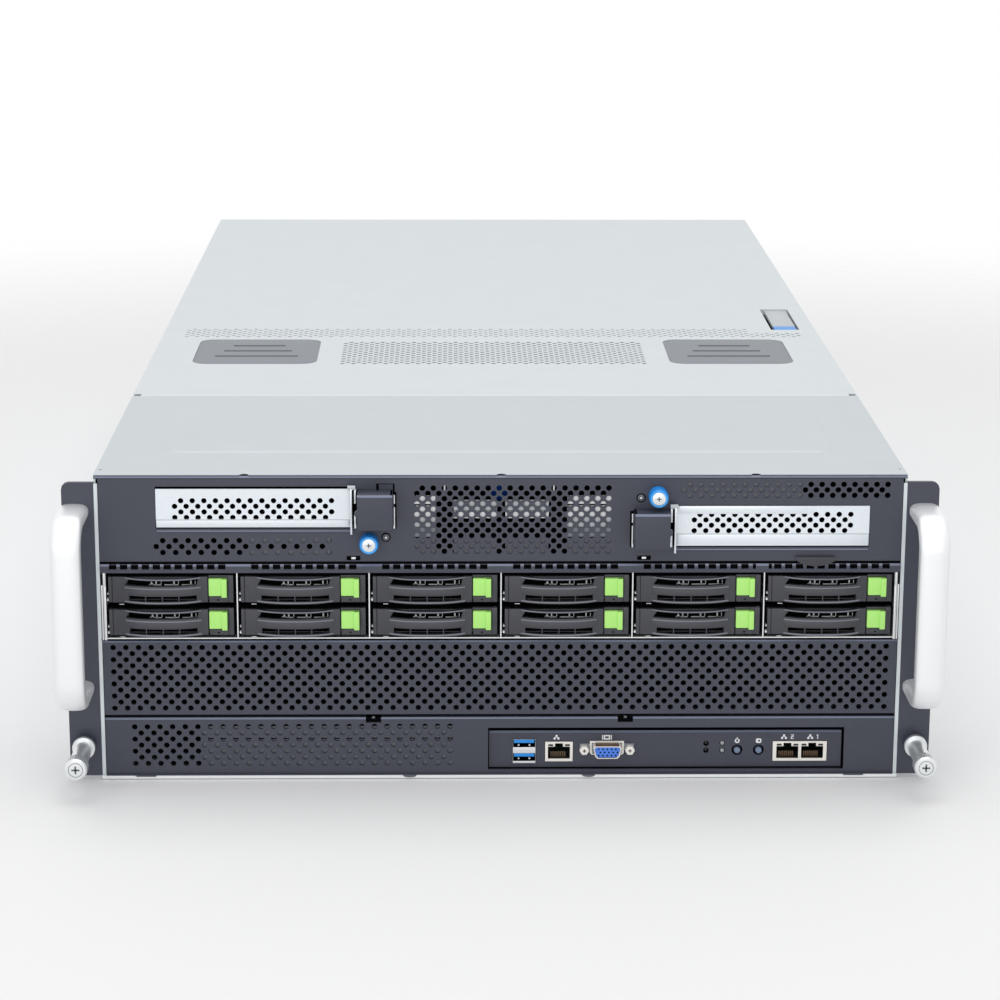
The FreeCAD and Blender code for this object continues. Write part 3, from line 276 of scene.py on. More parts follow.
def open_group(name, kind, inputs, output):
    """Empty node group with its sockets; gives the group and its input values."""
    group = bpy.data.node_groups.new(name, kind)
    for label, socket in inputs.items():
        group.interface.new_socket(label, in_out="INPUT", socket_type="NodeSocket" + socket)
    group.interface.new_socket(output[0], in_out="OUTPUT", socket_type="NodeSocket" + output[1])
    return group, add_node(group, "NodeGroupInput")


# %% Pattern groups
def pattern_group(name, detail):
    """Node group with a noise on Object coordinates, stretched by a vector."""
    group, get = open_group(name, "ShaderNodeTree", {"Stretch": "Vector", "Scale": "Float"}, ("Value", "Float"))
    place = add_node(group, "ShaderNodeTexCoord")
    spot = add_node(group, "ShaderNodeVectorMath", {0: place["Object"], 1: get["Stretch"]},
                    operation="MULTIPLY")
    noise = add_node(group, "ShaderNodeTexNoise", {"Vector": spot[0], "Scale": get["Scale"], "Detail": detail})
    add_node(group, "NodeGroupOutput", {"Value": noise["Fac"]})
    return group


GRAIN = pattern_group("even_grain", 3.0)
STREAK = pattern_group("drawn_grain", 6.0)
RELIEF = 0.0002


def finish(name, dark, light, rough, metal=0.0, group=GRAIN, scale=900.0, stretch=(1, 1, 1),
           spread=0.06, bump=0.08, specular=0.5):
    """Material whose colour, gloss and fine relief follow one pattern value."""
    material = bpy.data.materials.new(name)
    material.use_nodes = True
    tree = material.node_tree
    value = add_node(tree, "ShaderNodeGroup", {"Stretch": stretch, "Scale": scale}, node_tree=group)["Value"]
    colour = add_node(tree, "ShaderNodeMix", {"Factor": value, "A": (*dark, 1), "B": (*light, 1)},
                      data_type="RGBA")
    gloss = add_node(tree, "ShaderNodeMapRange", {
        "Value": value, "To Min": rough - spread, "To Max": rough + spread})
    relief = add_node(tree, "ShaderNodeBump", {"Height": value, "Strength": bump, "Distance": RELIEF})
    feed(tree, tree.nodes["Principled BSDF"], {
        "Base Color": colour["Result"], "Roughness": gloss["Result"], "Normal": relief["Normal"],
        "Metallic": metal, "Specular IOR Level": specular})
    return material


# %% [markdown]
# ## The finishes
# The front is slate-grey powder paint, the lid zinc-coated steel, the small hardware bright steel. The
# two strong colours, green and blue, mark what a hand should press, turn or pull. Faces of bent edges that
# lean up towards the lamps get a paler colour of their own: a painted highlight.

# %% Painted and metal finishes
PAINT = finish("slate_paint", (0.040, 0.0435, 0.064), (0.052, 0.0565, 0.083), 0.42,
               scale=1400, bump=0.12)
# Paler slate for faces that lean up and forward: a painted highlight.
EDGE = finish("slate_paint_highlight", (0.17, 0.19, 0.27), (0.20, 0.225, 0.315), 0.45, bump=0.02)
ZINC = finish("zinc_sheet", (0.63, 0.675, 0.695), (0.67, 0.715, 0.735), 0.46,
              metal=0.55, scale=40, spread=0.03, bump=0.01)
# A darker copy of the lid's zinc, for the front cover: painted shade.
COVER = finish("cover_sheet", (0.545, 0.59, 0.61), (0.58, 0.625, 0.645), 0.46,
               metal=0.55, scale=40, spread=0.03, bump=0.01)
STEEL = finish("bright_steel", (0.72, 0.74, 0.75), (0.86, 0.88, 0.89), 0.30,
               metal=0.75, group=STREAK, scale=300, stretch=(1, 1, 12), bump=0.03)
BLANK = finish("blank_plate", (0.70, 0.75, 0.80), (0.82, 0.87, 0.91), 0.36,
               metal=0.55, group=STREAK, scale=260, stretch=(1, 1, 14), bump=0.03)
ALUMINIUM = finish("brushed_aluminium", (0.84, 0.85, 0.87), (0.90, 0.91, 0.92), 0.44,
                   metal=0.6, group=STREAK, scale=500, stretch=(14, 14, 1), bump=0.04)
# Brown gold for the jack contacts, also used as painted shade on the top face of the video socket's nose.
GOLD_AND_SHADE = finish("contact_gold_and_nose_shade", (0.13, 0.08, 0.045), (0.18, 0.11, 0.06), 0.38, metal=0.3)

# %% Plastic finishes
CHARCOAL = finish("charcoal_plastic", (0.038, 0.039, 0.048), (0.049, 0.050, 0.061), 0.42,
                  scale=1500, bump=0.10)
# Paler charcoal for faces of the carrier levers that lean up and forward: a painted highlight.
CHARCOAL_HIGHLIGHT = finish("charcoal_plastic_highlight", (0.160, 0.170, 0.200), (0.190, 0.200, 0.235), 0.45, bump=0.02)
BLACK = finish("black_plastic", (0.012, 0.013, 0.015), (0.018, 0.019, 0.022), 0.45,
               scale=1600, bump=0.10)
# Flat black without gloss, mostly painted shade: in gaps, pits and holes, and behind windows and vents.
DARK = finish("black_and_painted_shade", (0.003, 0.003, 0.0035), (0.005, 0.005, 0.006), 0.75, specular=0.0)
GREEN = finish("green_plastic", (0.43, 0.85, 0.19), (0.48, 0.90, 0.23), 0.38, bump=0.02)
BLUE = finish("blue_plastic", (0.008, 0.24, 0.72), (0.014, 0.31, 0.86), 0.32, bump=0.02)
SKY = finish("sky_blue", (0.045, 0.36, 0.90), (0.07, 0.44, 0.98), 0.35, bump=0.02)
VIOLET = finish("video_blue", (0.055, 0.19, 0.70), (0.08, 0.24, 0.86), 0.42, bump=0.02)
# Dark blue for a blue plug seen through a vent: its own blue, painted darker as shade.
NAVY = finish("plug_blue_painted_shade", (0.001, 0.014, 0.085), (0.002, 0.018, 0.105), 0.45, specular=0.0)
GREY = finish("grey_plastic", (0.20, 0.22, 0.25), (0.25, 0.27, 0.30), 0.5,
              scale=1200, bump=0.10)
PALE = finish("pale_grey", (0.50, 0.53, 0.55), (0.56, 0.59, 0.61), 0.45, bump=0.04)
KEYCAP = finish("key_grey", (0.15, 0.20, 0.30), (0.19, 0.25, 0.36), 0.45, bump=0.04)
IVORY = finish("socket_ivory", (0.84, 0.81, 0.76), (0.90, 0.87, 0.82), 0.42, bump=0.03)
ASH = finish("ash_lines", (0.10, 0.11, 0.125), (0.125, 0.135, 0.15), 0.5)
FOOT = finish("duct_shade", (0.080, 0.088, 0.105), (0.095, 0.104, 0.122), 0.5)
# White for print, light pipes and springs, and as a painted highlight on the lips and on the heads of the duct
# brackets.
WHITE = finish("white_print_and_highlight", (0.80, 0.82, 0.84), (0.88, 0.89, 0.90), 0.5, bump=0.0)
LAMP = finish("lamp_lens", (0.30, 0.32, 0.33), (0.36, 0.38, 0.39), 0.2, bump=0.0)
BOARD = finish("circuit_board", (0.008, 0.05, 0.022), (0.014, 0.075, 0.034), 0.5, scale=200)


# %% [markdown]
# ## Perforation with Geometry Nodes
# A vent is one hole, repeated. The tree lays points in staggered rows, sets a cutter on each and takes
# them out of the sheet in one solid cut. Hole size, pitch and place are inputs, so one tree serves
# every vent on the server, round holes and slots alike.

# %% Perforation tree
def perforation_tree():
    tree, get = open_group("perforate", "GeometryNodeTree", {
        "Sheet": "Geometry", "Columns": "Int", "Rows": "Int", "Trim": "Int", "Pitch": "Float",
        "Row step": "Float", "Stagger": "Float", "Origin": "Vector", "Across": "Vector", "Upward": "Vector",
        "Turn": "Vector", "Hole": "Vector", "Slotted": "Bool", "Finish": "Material"}, ("Sheet", "Geometry"))

    def number(operation, a, b):
        return add_node(tree, "ShaderNodeMath", {0: a, 1: b}, operation=operation)[0]

    def vector(operation, a, b):
        second = "Scale" if operation == "SCALE" else 1
        return add_node(tree, "ShaderNodeVectorMath", {0: a, second: b}, operation=operation)[0]

    index = add_node(tree, "GeometryNodeInputIndex")[0]
    row = number("FLOOR", number("DIVIDE", number("ADD", index, 0.5), get["Columns"]), 0)
    column = number("SUBTRACT", index, number("MULTIPLY", row, get["Columns"]))
    odd = number("MODULO", row, 2.0)
    u = number("ADD", number("MULTIPLY", column, get["Pitch"]), number("MULTIPLY", odd, get["Stagger"]))
    v = number("MULTIPLY", row, get["Row step"])
    along = vector("ADD", get["Origin"], vector("SCALE", get["Across"], u))
    spot = vector("ADD", along, vector("SCALE", get["Upward"], v))
    last = number("SUBTRACT", get["Columns"], number("MULTIPLY", odd, get["Trim"]))
    total = number("MULTIPLY", get["Columns"], get["Rows"])
    points = add_node(tree, "GeometryNodePoints", {"Count": total, "Position": spot})
    drill = add_node(tree, "GeometryNodeMeshCylinder", {"Vertices": 12, "Radius": 0.5, "Depth": 1.0})
    punch = add_node(tree, "GeometryNodeMeshCube")
    tool = add_node(tree, "GeometryNodeSwitch", {
        "Switch": get["Slotted"], "False": drill["Mesh"], "True": punch["Mesh"]}, input_type="GEOMETRY")
    copies = add_node(tree, "GeometryNodeInstanceOnPoints", {
        "Points": points[0], "Selection": number("LESS_THAN", column, number("SUBTRACT", last, 0.5)),
        "Instance": tool[0], "Rotation": get["Turn"], "Scale": get["Hole"]})
    cutters = add_node(tree, "GeometryNodeRealizeInstances", {0: copies[0]})
    cut = add_node(tree, "GeometryNodeMeshBoolean", {"Mesh 1": get["Sheet"], "Mesh 2": cutters[0]},
                   operation="DIFFERENCE", solver="MANIFOLD")
    whole = add_node(tree, "GeometryNodeRealizeInstances", {0: cut["Mesh"]})
    dress = add_node(tree, "GeometryNodeSetMaterial", {"Geometry": whole[0], "Material": get["Finish"]})
    add_node(tree, "NodeGroupOutput", {0: dress[0]})
    return tree


PERFORATE = perforation_tree()


# %% Fields of holes
DRILL_DEPTH = 8.0


def run_tree(piece, tree, values):
    """Runs a Geometry Nodes tree on a piece and keeps what it makes."""
    work = piece.modifiers.new(tree.name, "NODES")
    work.node_group = tree
    values = {**values, "Finish": piece.data.materials[0]}
    for item in tree.interface.items_tree:
        if item.in_out == "INPUT" and item.name in values:
            work[item.identifier] = values[item.name]
    return bake(piece)


def field(origin, columns, rows, pitch, step, stagger=0.0, trim=0, hole=(3.2, 3.2), lying=False, slotted=False):
    """Values for a field of holes, from its first hole; its rows follow upwards or, if lying, rearwards."""
    return {
        "Columns": columns, "Rows": rows, "Trim": trim, "Pitch": pitch * MM, "Row step": step * MM,
        "Stagger": stagger * MM, "Origin": tuple(c * MM for c in origin), "Across": (1.0, 0.0, 0.0),
        "Upward": (0.0, 1.0, 0.0) if lying else (0.0, 0.0, 1.0),
        "Turn": (0.0, 0.0, 0.0) if lying else (math.pi / 2, 0.0, 0.0),
        "Hole": (hole[0] * MM, hole[1] * MM, DRILL_DEPTH * MM), "Slotted": slotted}


# %% [markdown]
# ## One call per piece
# Every piece of the server takes the same road: its shells become an object, holes are cut, faces that
# lean towards the light get a paler colour, a painted highlight, and the piece is set to ride on the body
# that it belongs to. A piece that stands for a solid names that solid.

# %% Pieces
def paint_light_on_faces(piece, material, up=0.2, lean=-0.2):
    """Gives the faces that lean up and forward a second colour for the light that falls on them: painted highlight
    where it is paler, painted shade where it is darker.
    """
    piece.data.materials.append(material)
    for face in piece.data.polygons:
        if face.normal.z > up and face.normal.y < lean:
            face.material_index = 1
    return piece


def mount(piece, body="chassis", nodes=()):
    """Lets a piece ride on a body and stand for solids."""
    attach(piece, body)
    if nodes:
        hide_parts(*nodes)
    return piece


def part(name, material, shells, body="chassis", nodes=(), bevel=0.0, holes=(), edge=None):
    """Makes one finished piece and says how many faces it has."""
    piece = shape(name, material, shells, bevel)
    for values in holes:
        run_tree(piece, PERFORATE, values)
    if edge:
        paint_light_on_faces(piece, edge)
    print(name, len(piece.data.polygons), "faces")
    return mount(piece, body, nodes)


# %% [markdown]
# ## Solids that only need a finish
# The tub, the cage, the ears and everything inside are right as they came. They keep their meshes and
# get a material.

# %% Finishes on kept solids
KEPT = {
    "chassis_tub": ZINC, "drive_cage": STEEL, "rack_ears": PAINT, "main_board": BOARD, "fan_modules": BLACK,
    "power_supply_1": STEEL, "power_supply_2": STEEL,
}
for node, material in KEPT.items():
    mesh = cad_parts[node].data
    mesh.materials.clear()
    mesh.materials.append(material)
print("kept", sorted(KEPT))


# %% [markdown]
# ## Upper front panel
# One painted sheet carries two slot windows, three vents and a bent-back top edge. The vents are really
# cut, because one looks through them at an angle. The bend is a bar with a cut-back edge: it takes the
# light from above, and its faces that lean up get a painted highlight, to draw the pale line that a folded sheet
# has.

# %% Upper panel
SLOT = {"left": (-135.8, 157.0, 1), "right": (149.2, 146.2, -1)}
SLOT_W, SLOT_H = 108.4, 23.9
KNOB = {"left": (-72.8, 137.6), "right": (86.2, 163.8)}
CLIP_X = (-81.5, 79.0)
CLIP_Z = (UPPER_Z[0] + 0.6, UPPER_Z[0] + 3.2)
CATCH_X, CATCH_Z = (-68.7, -58.6), (UPPER_Z[1] - 9.5, UPPER_Z[1] - 3.7)
UPPER_T = 0.9
BEND_Z = UPPER_Z[1] - 1.0
loops = [rect(WIDE, (UPPER_Z[0], BEND_Z))]
for side, (x, z, way) in SLOT.items():
    loops += [rect(about(x, SLOT_W), about(z, SLOT_H)), ring(*KNOB[side], 1.8)]
loops += [rect(about(x, 7.6), CLIP_Z) for x in CLIP_X] + [rect(CATCH_X, CATCH_Z)]
part("upper_panel", PAINT, [plate(loops, front(0), (0, UPPER_T, 0))], nodes=["upper_front_panel"], holes=[
    field((-43.4, 1, 132.0), 18, 13, 6.03, 3.0, stagger=-3.0),
    field((-186.4, 1, 131.5), 14, 3, 7.03, 3.4, stagger=-3.6),
    field((103.8, 1, 163.7), 19, 3, 6.05, 3.1, stagger=-3.1)])

# %% Bent edges of the upper panel
BEND_TOP = TOP - 0.6
bend = [(0.3, BEND_Z), (0.3, BEND_Z + 0.45), (-0.3, BEND_Z + 0.5), (-0.3, BEND_TOP - 1.0), (0.7, BEND_TOP),
        (0.9, BEND_TOP - 0.2), (PANEL_T, BEND_TOP - 0.75), (PANEL_T, BEND_Z)]
shells = [bar((-HALF, HALF), bend), box(WIDE, (PANEL_T, FLANGE), (BEND_Z - 0.6, BEND_Z + 0.8))]
for x, z, way in SLOT.values():
    foot = z - SLOT_H / 2
    shells.append(brow(about(x, SLOT_W - 1.0), -0.5, 0.4, foot - 1.9, foot - 0.7, 0.8))
shells.append(box((CATCH_X[0] + 1.4, CATCH_X[1] - 1.0), (0.4, 0.9), (CATCH_Z[0] + 1.2, CATCH_Z[1] - 0.5)))
part("upper_panel_edge", PAINT, shells, edge=EDGE)

# %% Painted pits and screws of the upper panel
LATCH_SCREW = ((-63.5, 140.1), (76.9, 162.4))
HINGE_OUT = 78.0
PAINTED_PIT_Y = (-0.08, 0.2)


def screws(profile, steps):
    return [turned(profile, (x, 0, z), steps) for x, z in LATCH_SCREW]


# The pits round the latch screws, the hinge slots and the dark behind the catch are flat black patches: painted
# shade.
shells = screws([(-0.1, 2.6), (0.3, 2.6)], 24)
for x, z, way in SLOT.values():
    shells += [box(about(x + way * (HINGE_OUT - 1.0), 2.4), PAINTED_PIT_Y, (z - 11.8, z + 8.8)),
               box(about(x + way * (HINGE_OUT - 22.6), 3.0), PAINTED_PIT_Y, (z - 11.0, z + 10.0))]
part("panel_pit_shade", DARK, shells + [box(grown(CATCH_X, 0.5), (1.2, 1.6), grown(CATCH_Z, 0.5))])
clips = [box(about(x, 2.4), (0.5, 1.0), (CLIP_Z[0] + 0.5, CLIP_Z[0] + 1.7)) for x in CLIP_X]
# The small steel dot on the front of each latch screw is a painted glint.
part("panel_clips_and_glints", STEEL, screws([(-1.3, 0.3), (-1.2, 0.6), (-0.8, 0.7)], 16) + clips, bevel=0.1)
part("latch_screw_heads", ASH, screws([(-0.9, 1.3), (-0.6, 1.9), (0.2, 2.0)], 24))


# %% [markdown]
# ## What shows through the upper vents
# Behind the centre vent stand light duct brackets, painted lighter at their heads and with painted shade
# towards the floor, and a black sheet, painted shade, closes the view beyond. Without them all holes would
# be the same black.

# %% Painted shade sheet and brackets
VENT_SHADE_Y = (24.0, 25.0)
DUCT_Y = (UPPER_T + 0.3, UPPER_T + 0.7)
SIDES = ((-50.0, -36.2), (36.4, 64.0))
MIDDLE = ((-26.2, -2.4), (2.3, 26.1))
# The heads, bodies, legs and feet step from pale to dark down each bracket: painted light from above and painted
# shade towards the floor.
DUCTS = {
    "heads": (WHITE, [(x, z) for x in SIDES for z in ((158.7, 163.5), (151.5, 157.8))]
              + [(x, (150.6, 154.6)) for x in MIDDLE]
              + [(about(x, 0.8), (165.5, 170.0)) for x in (-31.2, 28.9)]),
    "bodies": (PALE, [(x, (145.6, 151.3)) for x in SIDES] + [(x, (155.0, 161.0)) for x in MIDDLE]),
    "legs": (GREY, [(x, (140.0, 145.4)) for x in SIDES]),
    "feet": (FOOT, [(x, (130.0, 139.4)) for x in SIDES + MIDDLE]),
    "seals": (ASH, [((98.0, 166.0), (160.0, 171.0)), ((-139.0, -94.0), (136.6, 140.4)),
                    ((-140.0, -94.0), (129.6, 133.2))]),
    "plugs": (NAVY, [((-5.8, 3.2), (161.2, 170.0))]),
}
# A black sheet behind the panel, across its width: painted shade inside the vents.
part("upper_vent_shade", DARK, [box(WIDE, VENT_SHADE_Y, (122.5, UPPER_Z[1] - 3.0))])
for name, (material, spots) in DUCTS.items():
    part("duct_" + name, material, [box(x, DUCT_Y, z) for x, z in spots])


# %% [markdown]
# ## Slotted strip over the drives
# A narrow folded strip hides the cage roof. Square slots run out through its bend, so only the posts
# between them keep the pale edge, a painted highlight on the faces that lean up. A black sheet behind the
# slots is painted shade. Every bay has its own group, and the two outer ones are a slot longer.

# %% Slotted strip
COLUMNS = 6
BAY_PITCH = 73.0
BAY_X = [(c - (COLUMNS - 1) / 2) * BAY_PITCH for c in range(COLUMNS)]
SLOT_STEP = 6.0
SLOT_MID = STRIP_Z[0] + 4.3
DRIFT = 0.75


def slots(x, number, width):
    return field((x, -1, SLOT_MID), number, 1, SLOT_STEP, 1.0, hole=(width, 4.6), slotted=True)


holes = []
for c, x in enumerate(BAY_X):
    first = x - (31.6 if c == 0 else 26.4 + DRIFT * (c - 1))
    holes.append(slots(first, 11 if c in (0, COLUMNS - 1) else 10, 4.1))
holes += [slots(x, 1, 1.8) for x in (BAY_X[-2] + 30.6, BAY_X[-1] - 33.6)]
strip = brow(WIDE, -1.8, -0.3, STRIP_Z[0], STRIP_Z[1] - 1.0, 1.0)
part("slotted_strip", PAINT, [strip], holes=holes, edge=EDGE)
part("strip_fold", PAINT, [box(WIDE, (1.7, FLANGE), (STRIP_Z[1] - 0.9, STRIP_Z[1])),
                           box(WIDE, (-0.7, -0.32), (STRIP_Z[1] - 1.45, STRIP_Z[1] - 1.05))])
# A black sheet right behind the slots: painted shade.
part("strip_slot_shade", DARK, [box(WIDE, (-0.28, -0.08), (STRIP_Z[0] + 0.3, STRIP_Z[1] + 0.2))])
tab = arc(174.0, 129.0, 11.4, -5.0, 0, 180, 14)
part("service_tab", CHARCOAL, [plate([tab], front(-2.7), (0, 0.8, 0))], bevel=0.25)


# %% [markdown]
# ## Blank slot covers
# Two bright covers close the expansion slots. Each is a perforated plate whose lower band is set back, and
# its end tab stands out of the panel, where the latch holds it. A second thin strip, a spring, lies
# between tab and latch.

# %% Slot covers
COVER_T = 1.0
COVER_W, COVER_H = SLOT_W - 2 * GAP, SLOT_H - 2 * GAP
BAND_H = {"left": 4.7, "right": 7.2}
COVER_FIELD = {"left": ((-179.3, 0, 151.6), 14, 4, 6.36, 3.17, 3.4),
               "right": ((106.4, 0, 143.8), 14, 4, 6.4, 3.07, 3.1)}
COVER_DROP = {"left": 0.9, "right": 0.0}
for side, (x, z, way) in SLOT.items():
    low, high = z - COVER_H / 2, z + COVER_H / 2
    foot = low + 0.4
    band = foot + BAND_H[side]
    sheet = plate([rect(about(x, COVER_W), (band, high - COVER_DROP[side]))], front(-0.6), (0, COVER_T, 0))
    part("slot_cover_" + side, BLANK, [sheet], nodes=["slot_covers"] if side == "left" else (),
         holes=[field(*COVER_FIELD[side], hole=(3.1, 3.1))])
    tab = x + way * COVER_W / 2
    end = sorted((tab, tab - way * COVER_T))
    spring = sorted((tab + way * 1.1, tab + way * 2.2))
    shells = [box(about(x, COVER_W), (0.1, 1.1), (foot, band)), box(end, (-4.0, GAP), (foot, high)),
              box(end, (-4.6, -GAP), about(z - 0.9, COVER_H + 3.4))]
    shells += [box(spring, (-3.4, -0.4), span) for span in ((low + 0.6, z - 3.0), (z + 3.0, high - 0.6))]
    if side == "right":
        shells.append(box((98.0, 172.0), (-0.8, -0.6), (153.4, high)))
    part("slot_cover_edges_" + side, BLANK, shells, bevel=0.2)
    # A thin grey line along the top of the set-back band, darker than the cover: a painted shadow line under the
    # fold.
    part("slot_cover_shade_and_rod_" + side, PALE, [
        box(about(x, COVER_W - 0.4), (-0.05, 0.3), (band - 0.65, band - 0.05)),
        turned([(tab - 2.4, 1.3), (tab + 1.8, 1.3)], (0, -3.4, high + 0.4), 16, "x")])

# %% Rear slot covers
REAR_SLOTS = 10
REAR_PITCH = 20.32
REAR_FIRST = -20.0
REAR_Z = (15.0, 129.0)
REAR_WINDOWS = 8
WINDOW_STEP = 13.0
shells = []
for k in range(REAR_SLOTS):
    x = REAR_FIRST + (k + 0.5) * REAR_PITCH
    loops = [rect(about(x, REAR_PITCH - 1.6), REAR_Z)]
    loops += [rect(about(x, 9.0), about(REAR_Z[0] + 5.0 + (j + 0.5) * WINDOW_STEP, 8.0))
              for j in range(REAR_WINDOWS)]
    shells.append(plate(loops, front(REAR - 2 * SHEET), (0, SHEET, 0)))
part("rear_slot_covers", STEEL, shells)


# %% [markdown]
# ## A tree for ribbed rims
# Thumbscrews and captive screws have a rim of fine ribs for the fingers. The ribs could be copied in a
# loop. A second small tree sets them on the points of a circle and joins them to the turned body, with
# their number and size as inputs.

# %% Rib tree
def rib_tree():
    tree, get = open_group("ribbed_rim", "GeometryNodeTree", {
        "Body": "Geometry", "Ribs": "Int", "Rim": "Float", "Rib": "Float", "Length": "Float",
        "Centre": "Vector", "Finish": "Material"}, ("Body", "Geometry"))
    upright = (math.pi / 2, 0, 0)
    circle = add_node(tree, "GeometryNodeMeshCircle", {"Vertices": get["Ribs"], "Radius": get["Rim"]})
    stand = add_node(tree, "GeometryNodeTransform", {
        "Geometry": circle[0], "Translation": get["Centre"], "Rotation": upright})
    rod = add_node(tree, "GeometryNodeMeshCylinder", {
        "Vertices": 6, "Radius": get["Rib"], "Depth": get["Length"]})
    copies = add_node(tree, "GeometryNodeInstanceOnPoints", {
        "Points": stand[0], "Instance": rod["Mesh"], "Rotation": upright})
    both = tree.nodes.new("GeometryNodeJoinGeometry")
    for source in (copies[0], get["Body"]):
        tree.links.new(source, both.inputs[0])
    solid = add_node(tree, "GeometryNodeRealizeInstances", {0: both.outputs[0]})
    dress = add_node(tree, "GeometryNodeSetMaterial", {"Geometry": solid[0], "Material": get["Finish"]})
    add_node(tree, "NodeGroupOutput", {0: dress[0]})
    return tree


RIBBED = rib_tree()


def ribs(piece, number, rim, rib, length, centre):
    """Adds a ring of ribs about an axis along y."""
    return run_tree(piece, RIBBED, {"Ribs": number, "Rim": rim * MM, "Rib": rib * MM, "Length": length * MM,
                                    "Centre": tuple(c * MM for c in centre)})


# %% [markdown]
# ## Slot latches and thumbscrews
# A hinged shell folds over the end of each cover, and its faces that lean up carry a painted highlight.
# Beside it a blue thumbscrew locks it, turned like a real knob: a ribbed rim, a chamfer and a metal disc
# with a cross recess, drawn as a flat grey cross: painted shade.

# %% Latches
LATCH_Y = (-13.5, -0.8)
LATCH_W = 19.3
HINGE_GAP = 1.8
PIN_Y = -2.6
for side, (x, z, way) in SLOT.items():
    body = "slot_latch_" + side
    hinge = x + way * HINGE_OUT
    near = hinge - way * HINGE_GAP
    far = near - way * LATCH_W
    face = sorted((near, far))
    low, high = z - 9.6, z + 10.1
    deep = (LATCH_Y[0] + SHEET, LATCH_Y[1])
    part("latch_shell_" + side, PAINT, [
        brow(face, LATCH_Y[0], LATCH_Y[0] + 1.4, low, high, 0.9),
        box(face, deep, (high - SHEET, high)), box(face, deep, (low, low + SHEET)),
        box(sorted((near, near - way * SHEET)), deep, (low, high)),
        box(sorted((hinge - way * 1.2, near - way * 0.5)), about(PIN_Y, 1.4), (z - 9.0, z + 7.6)),
        turned([(LATCH_Y[0] + 0.3, 2.4), (LATCH_Y[0] + 1.3, 2.4)], (far + way * 0.9, 0, z - 0.3), 20),
    ], body, [body], bevel=0.15, edge=EDGE)
    pin = (hinge - way * 1.1, PIN_Y, z)
    part("latch_pin_" + side, STEEL, [
        turned([(end, 0.55) for end in span], pin, 16, "z") for span in ((-11.1, 1.0), (2.9, 7.9))], body)

# %% Thumbscrews
KNOB_R = 5.1
KNOB_PROFILE = [(-8.3, 4.0), (-8.3, 4.7), (-7.6, KNOB_R), (-1.6, KNOB_R),
                (-0.9, KNOB_R + 0.2), (-0.3, KNOB_R + 0.2)]
for side, (x, z) in KNOB.items():
    body = "panel_screw_" + side
    knob = shape("thumbscrew_" + side, BLUE, [turned(KNOB_PROFILE, (x, 0, z), 40)])
    mount(ribs(knob, 24, KNOB_R - 0.05, 0.35, 5.6, (x, -4.6, z)), body, [body])
    part("thumbscrew_disc_" + side, STEEL, [turned([(-8.9, 3.2), (-8.7, 3.6), (-8.2, 3.8)], (x, 0, z), 32),
                                            turned([(-0.3, 1.5), (9.5, 1.5)], (x, 0, z), 16)], body)
    rim = plate([ring(x, z, 4.75), ring(x, z, 3.75)], front(-8.4), (0, 0.3, 0))
    part("thumbscrew_ring_" + side, SKY, [rim], body)
    # A flat grey cross on the disc stands for the recess: painted shade.
    part("thumbscrew_cross_shade_" + side, GREY, cross(x, z, -8.95, 2.8, 0.7), body)


# %% [markdown]
# ## Middle grille
# Eleven staggered rows of round holes fill the whole width. It is the same tree as before with other
# numbers. Its top edge is bent too, and a black dust filter lies behind it.

# %% Middle grille
GRILLE_BEND = GRILLE_Z[1] - 1.5
VENT_PITCH = 7.06
part("grille_sheet", PAINT, [box(WIDE, (0, PANEL_T), (GRILLE_Z[0], GRILLE_BEND))], nodes=["middle_grille"],
     holes=[field((-215.5, 1, 41.3), 62, 11, VENT_PITCH, 3.54, stagger=VENT_PITCH / 2, trim=1)])
part("grille_folds", PAINT, [brow(WIDE, 0, FLANGE, GRILLE_BEND, GRILLE_Z[1], 0.7),
                             box(WIDE, (PANEL_T, FLANGE), (GRILLE_Z[0], GRILLE_Z[0] + PANEL_T))], edge=EDGE)
part("dust_filter", DARK, [box(grown(WIDE, -2), (11.0, 12.0), grown(GRILLE_Z, -2))])


# %% [markdown]
# ## Lower panel
# The bottom panel has its own vent on the left and a long window on the right for the port field. Two
# short tabs reach down over the steel lip, and two notches in its bent top edge hold clips.

# %% Lower panel
PORT_X, PORT_Z = (-7.0, 193.4), (4.4, 29.2)
TAB_X = (-199.0, 199.0)
NOTCH_X = (-71.2, 70.0)
NOTCH_W = 8.6
LOWER_BEND = LOWER_Z[1] - 1.4
outline = [(WIDE[0], LOWER_Z[0])]
for a, b in [about(x, 10.4) for x in TAB_X]:
    outline += [(a, LOWER_Z[0]), (a, SHEET + GAP), (b, SHEET + GAP), (b, LOWER_Z[0])]
outline += [(WIDE[1], LOWER_Z[0]), (WIDE[1], LOWER_BEND)]
for a, b in [about(x, NOTCH_W) for x in NOTCH_X[::-1]]:
    outline += [(b, LOWER_BEND), (b, LOWER_Z[1] - 3.0), (a, LOWER_Z[1] - 3.0), (a, LOWER_BEND)]
outline += [(WIDE[0], LOWER_BEND)]
sheet = plate([outline, rect(PORT_X, PORT_Z)], front(0), (0, PANEL_T, 0))
part("lower_panel", PAINT, [sheet], nodes=["lower_front_panel"],
     holes=[field((-204.8, 1, 8.6), 26, 7, VENT_PITCH, 3.6, stagger=VENT_PITCH / 2, trim=1)])
stops = [WIDE[0]] + [end for x in NOTCH_X for end in about(x, NOTCH_W)] + [WIDE[1]]
part("lower_fold", PAINT, [brow(span, 0, FLANGE, LOWER_BEND, LOWER_Z[1], 0.9)
                           for span in zip(stops[::2], stops[1::2])], edge=EDGE)

# %% Behind the lower panel
part("vent_sheet", GREY, [box((-168.0, -26.0), (2.6, 3.0), z) for z in ((4.0, 21.9), (22.7, 29.6))])
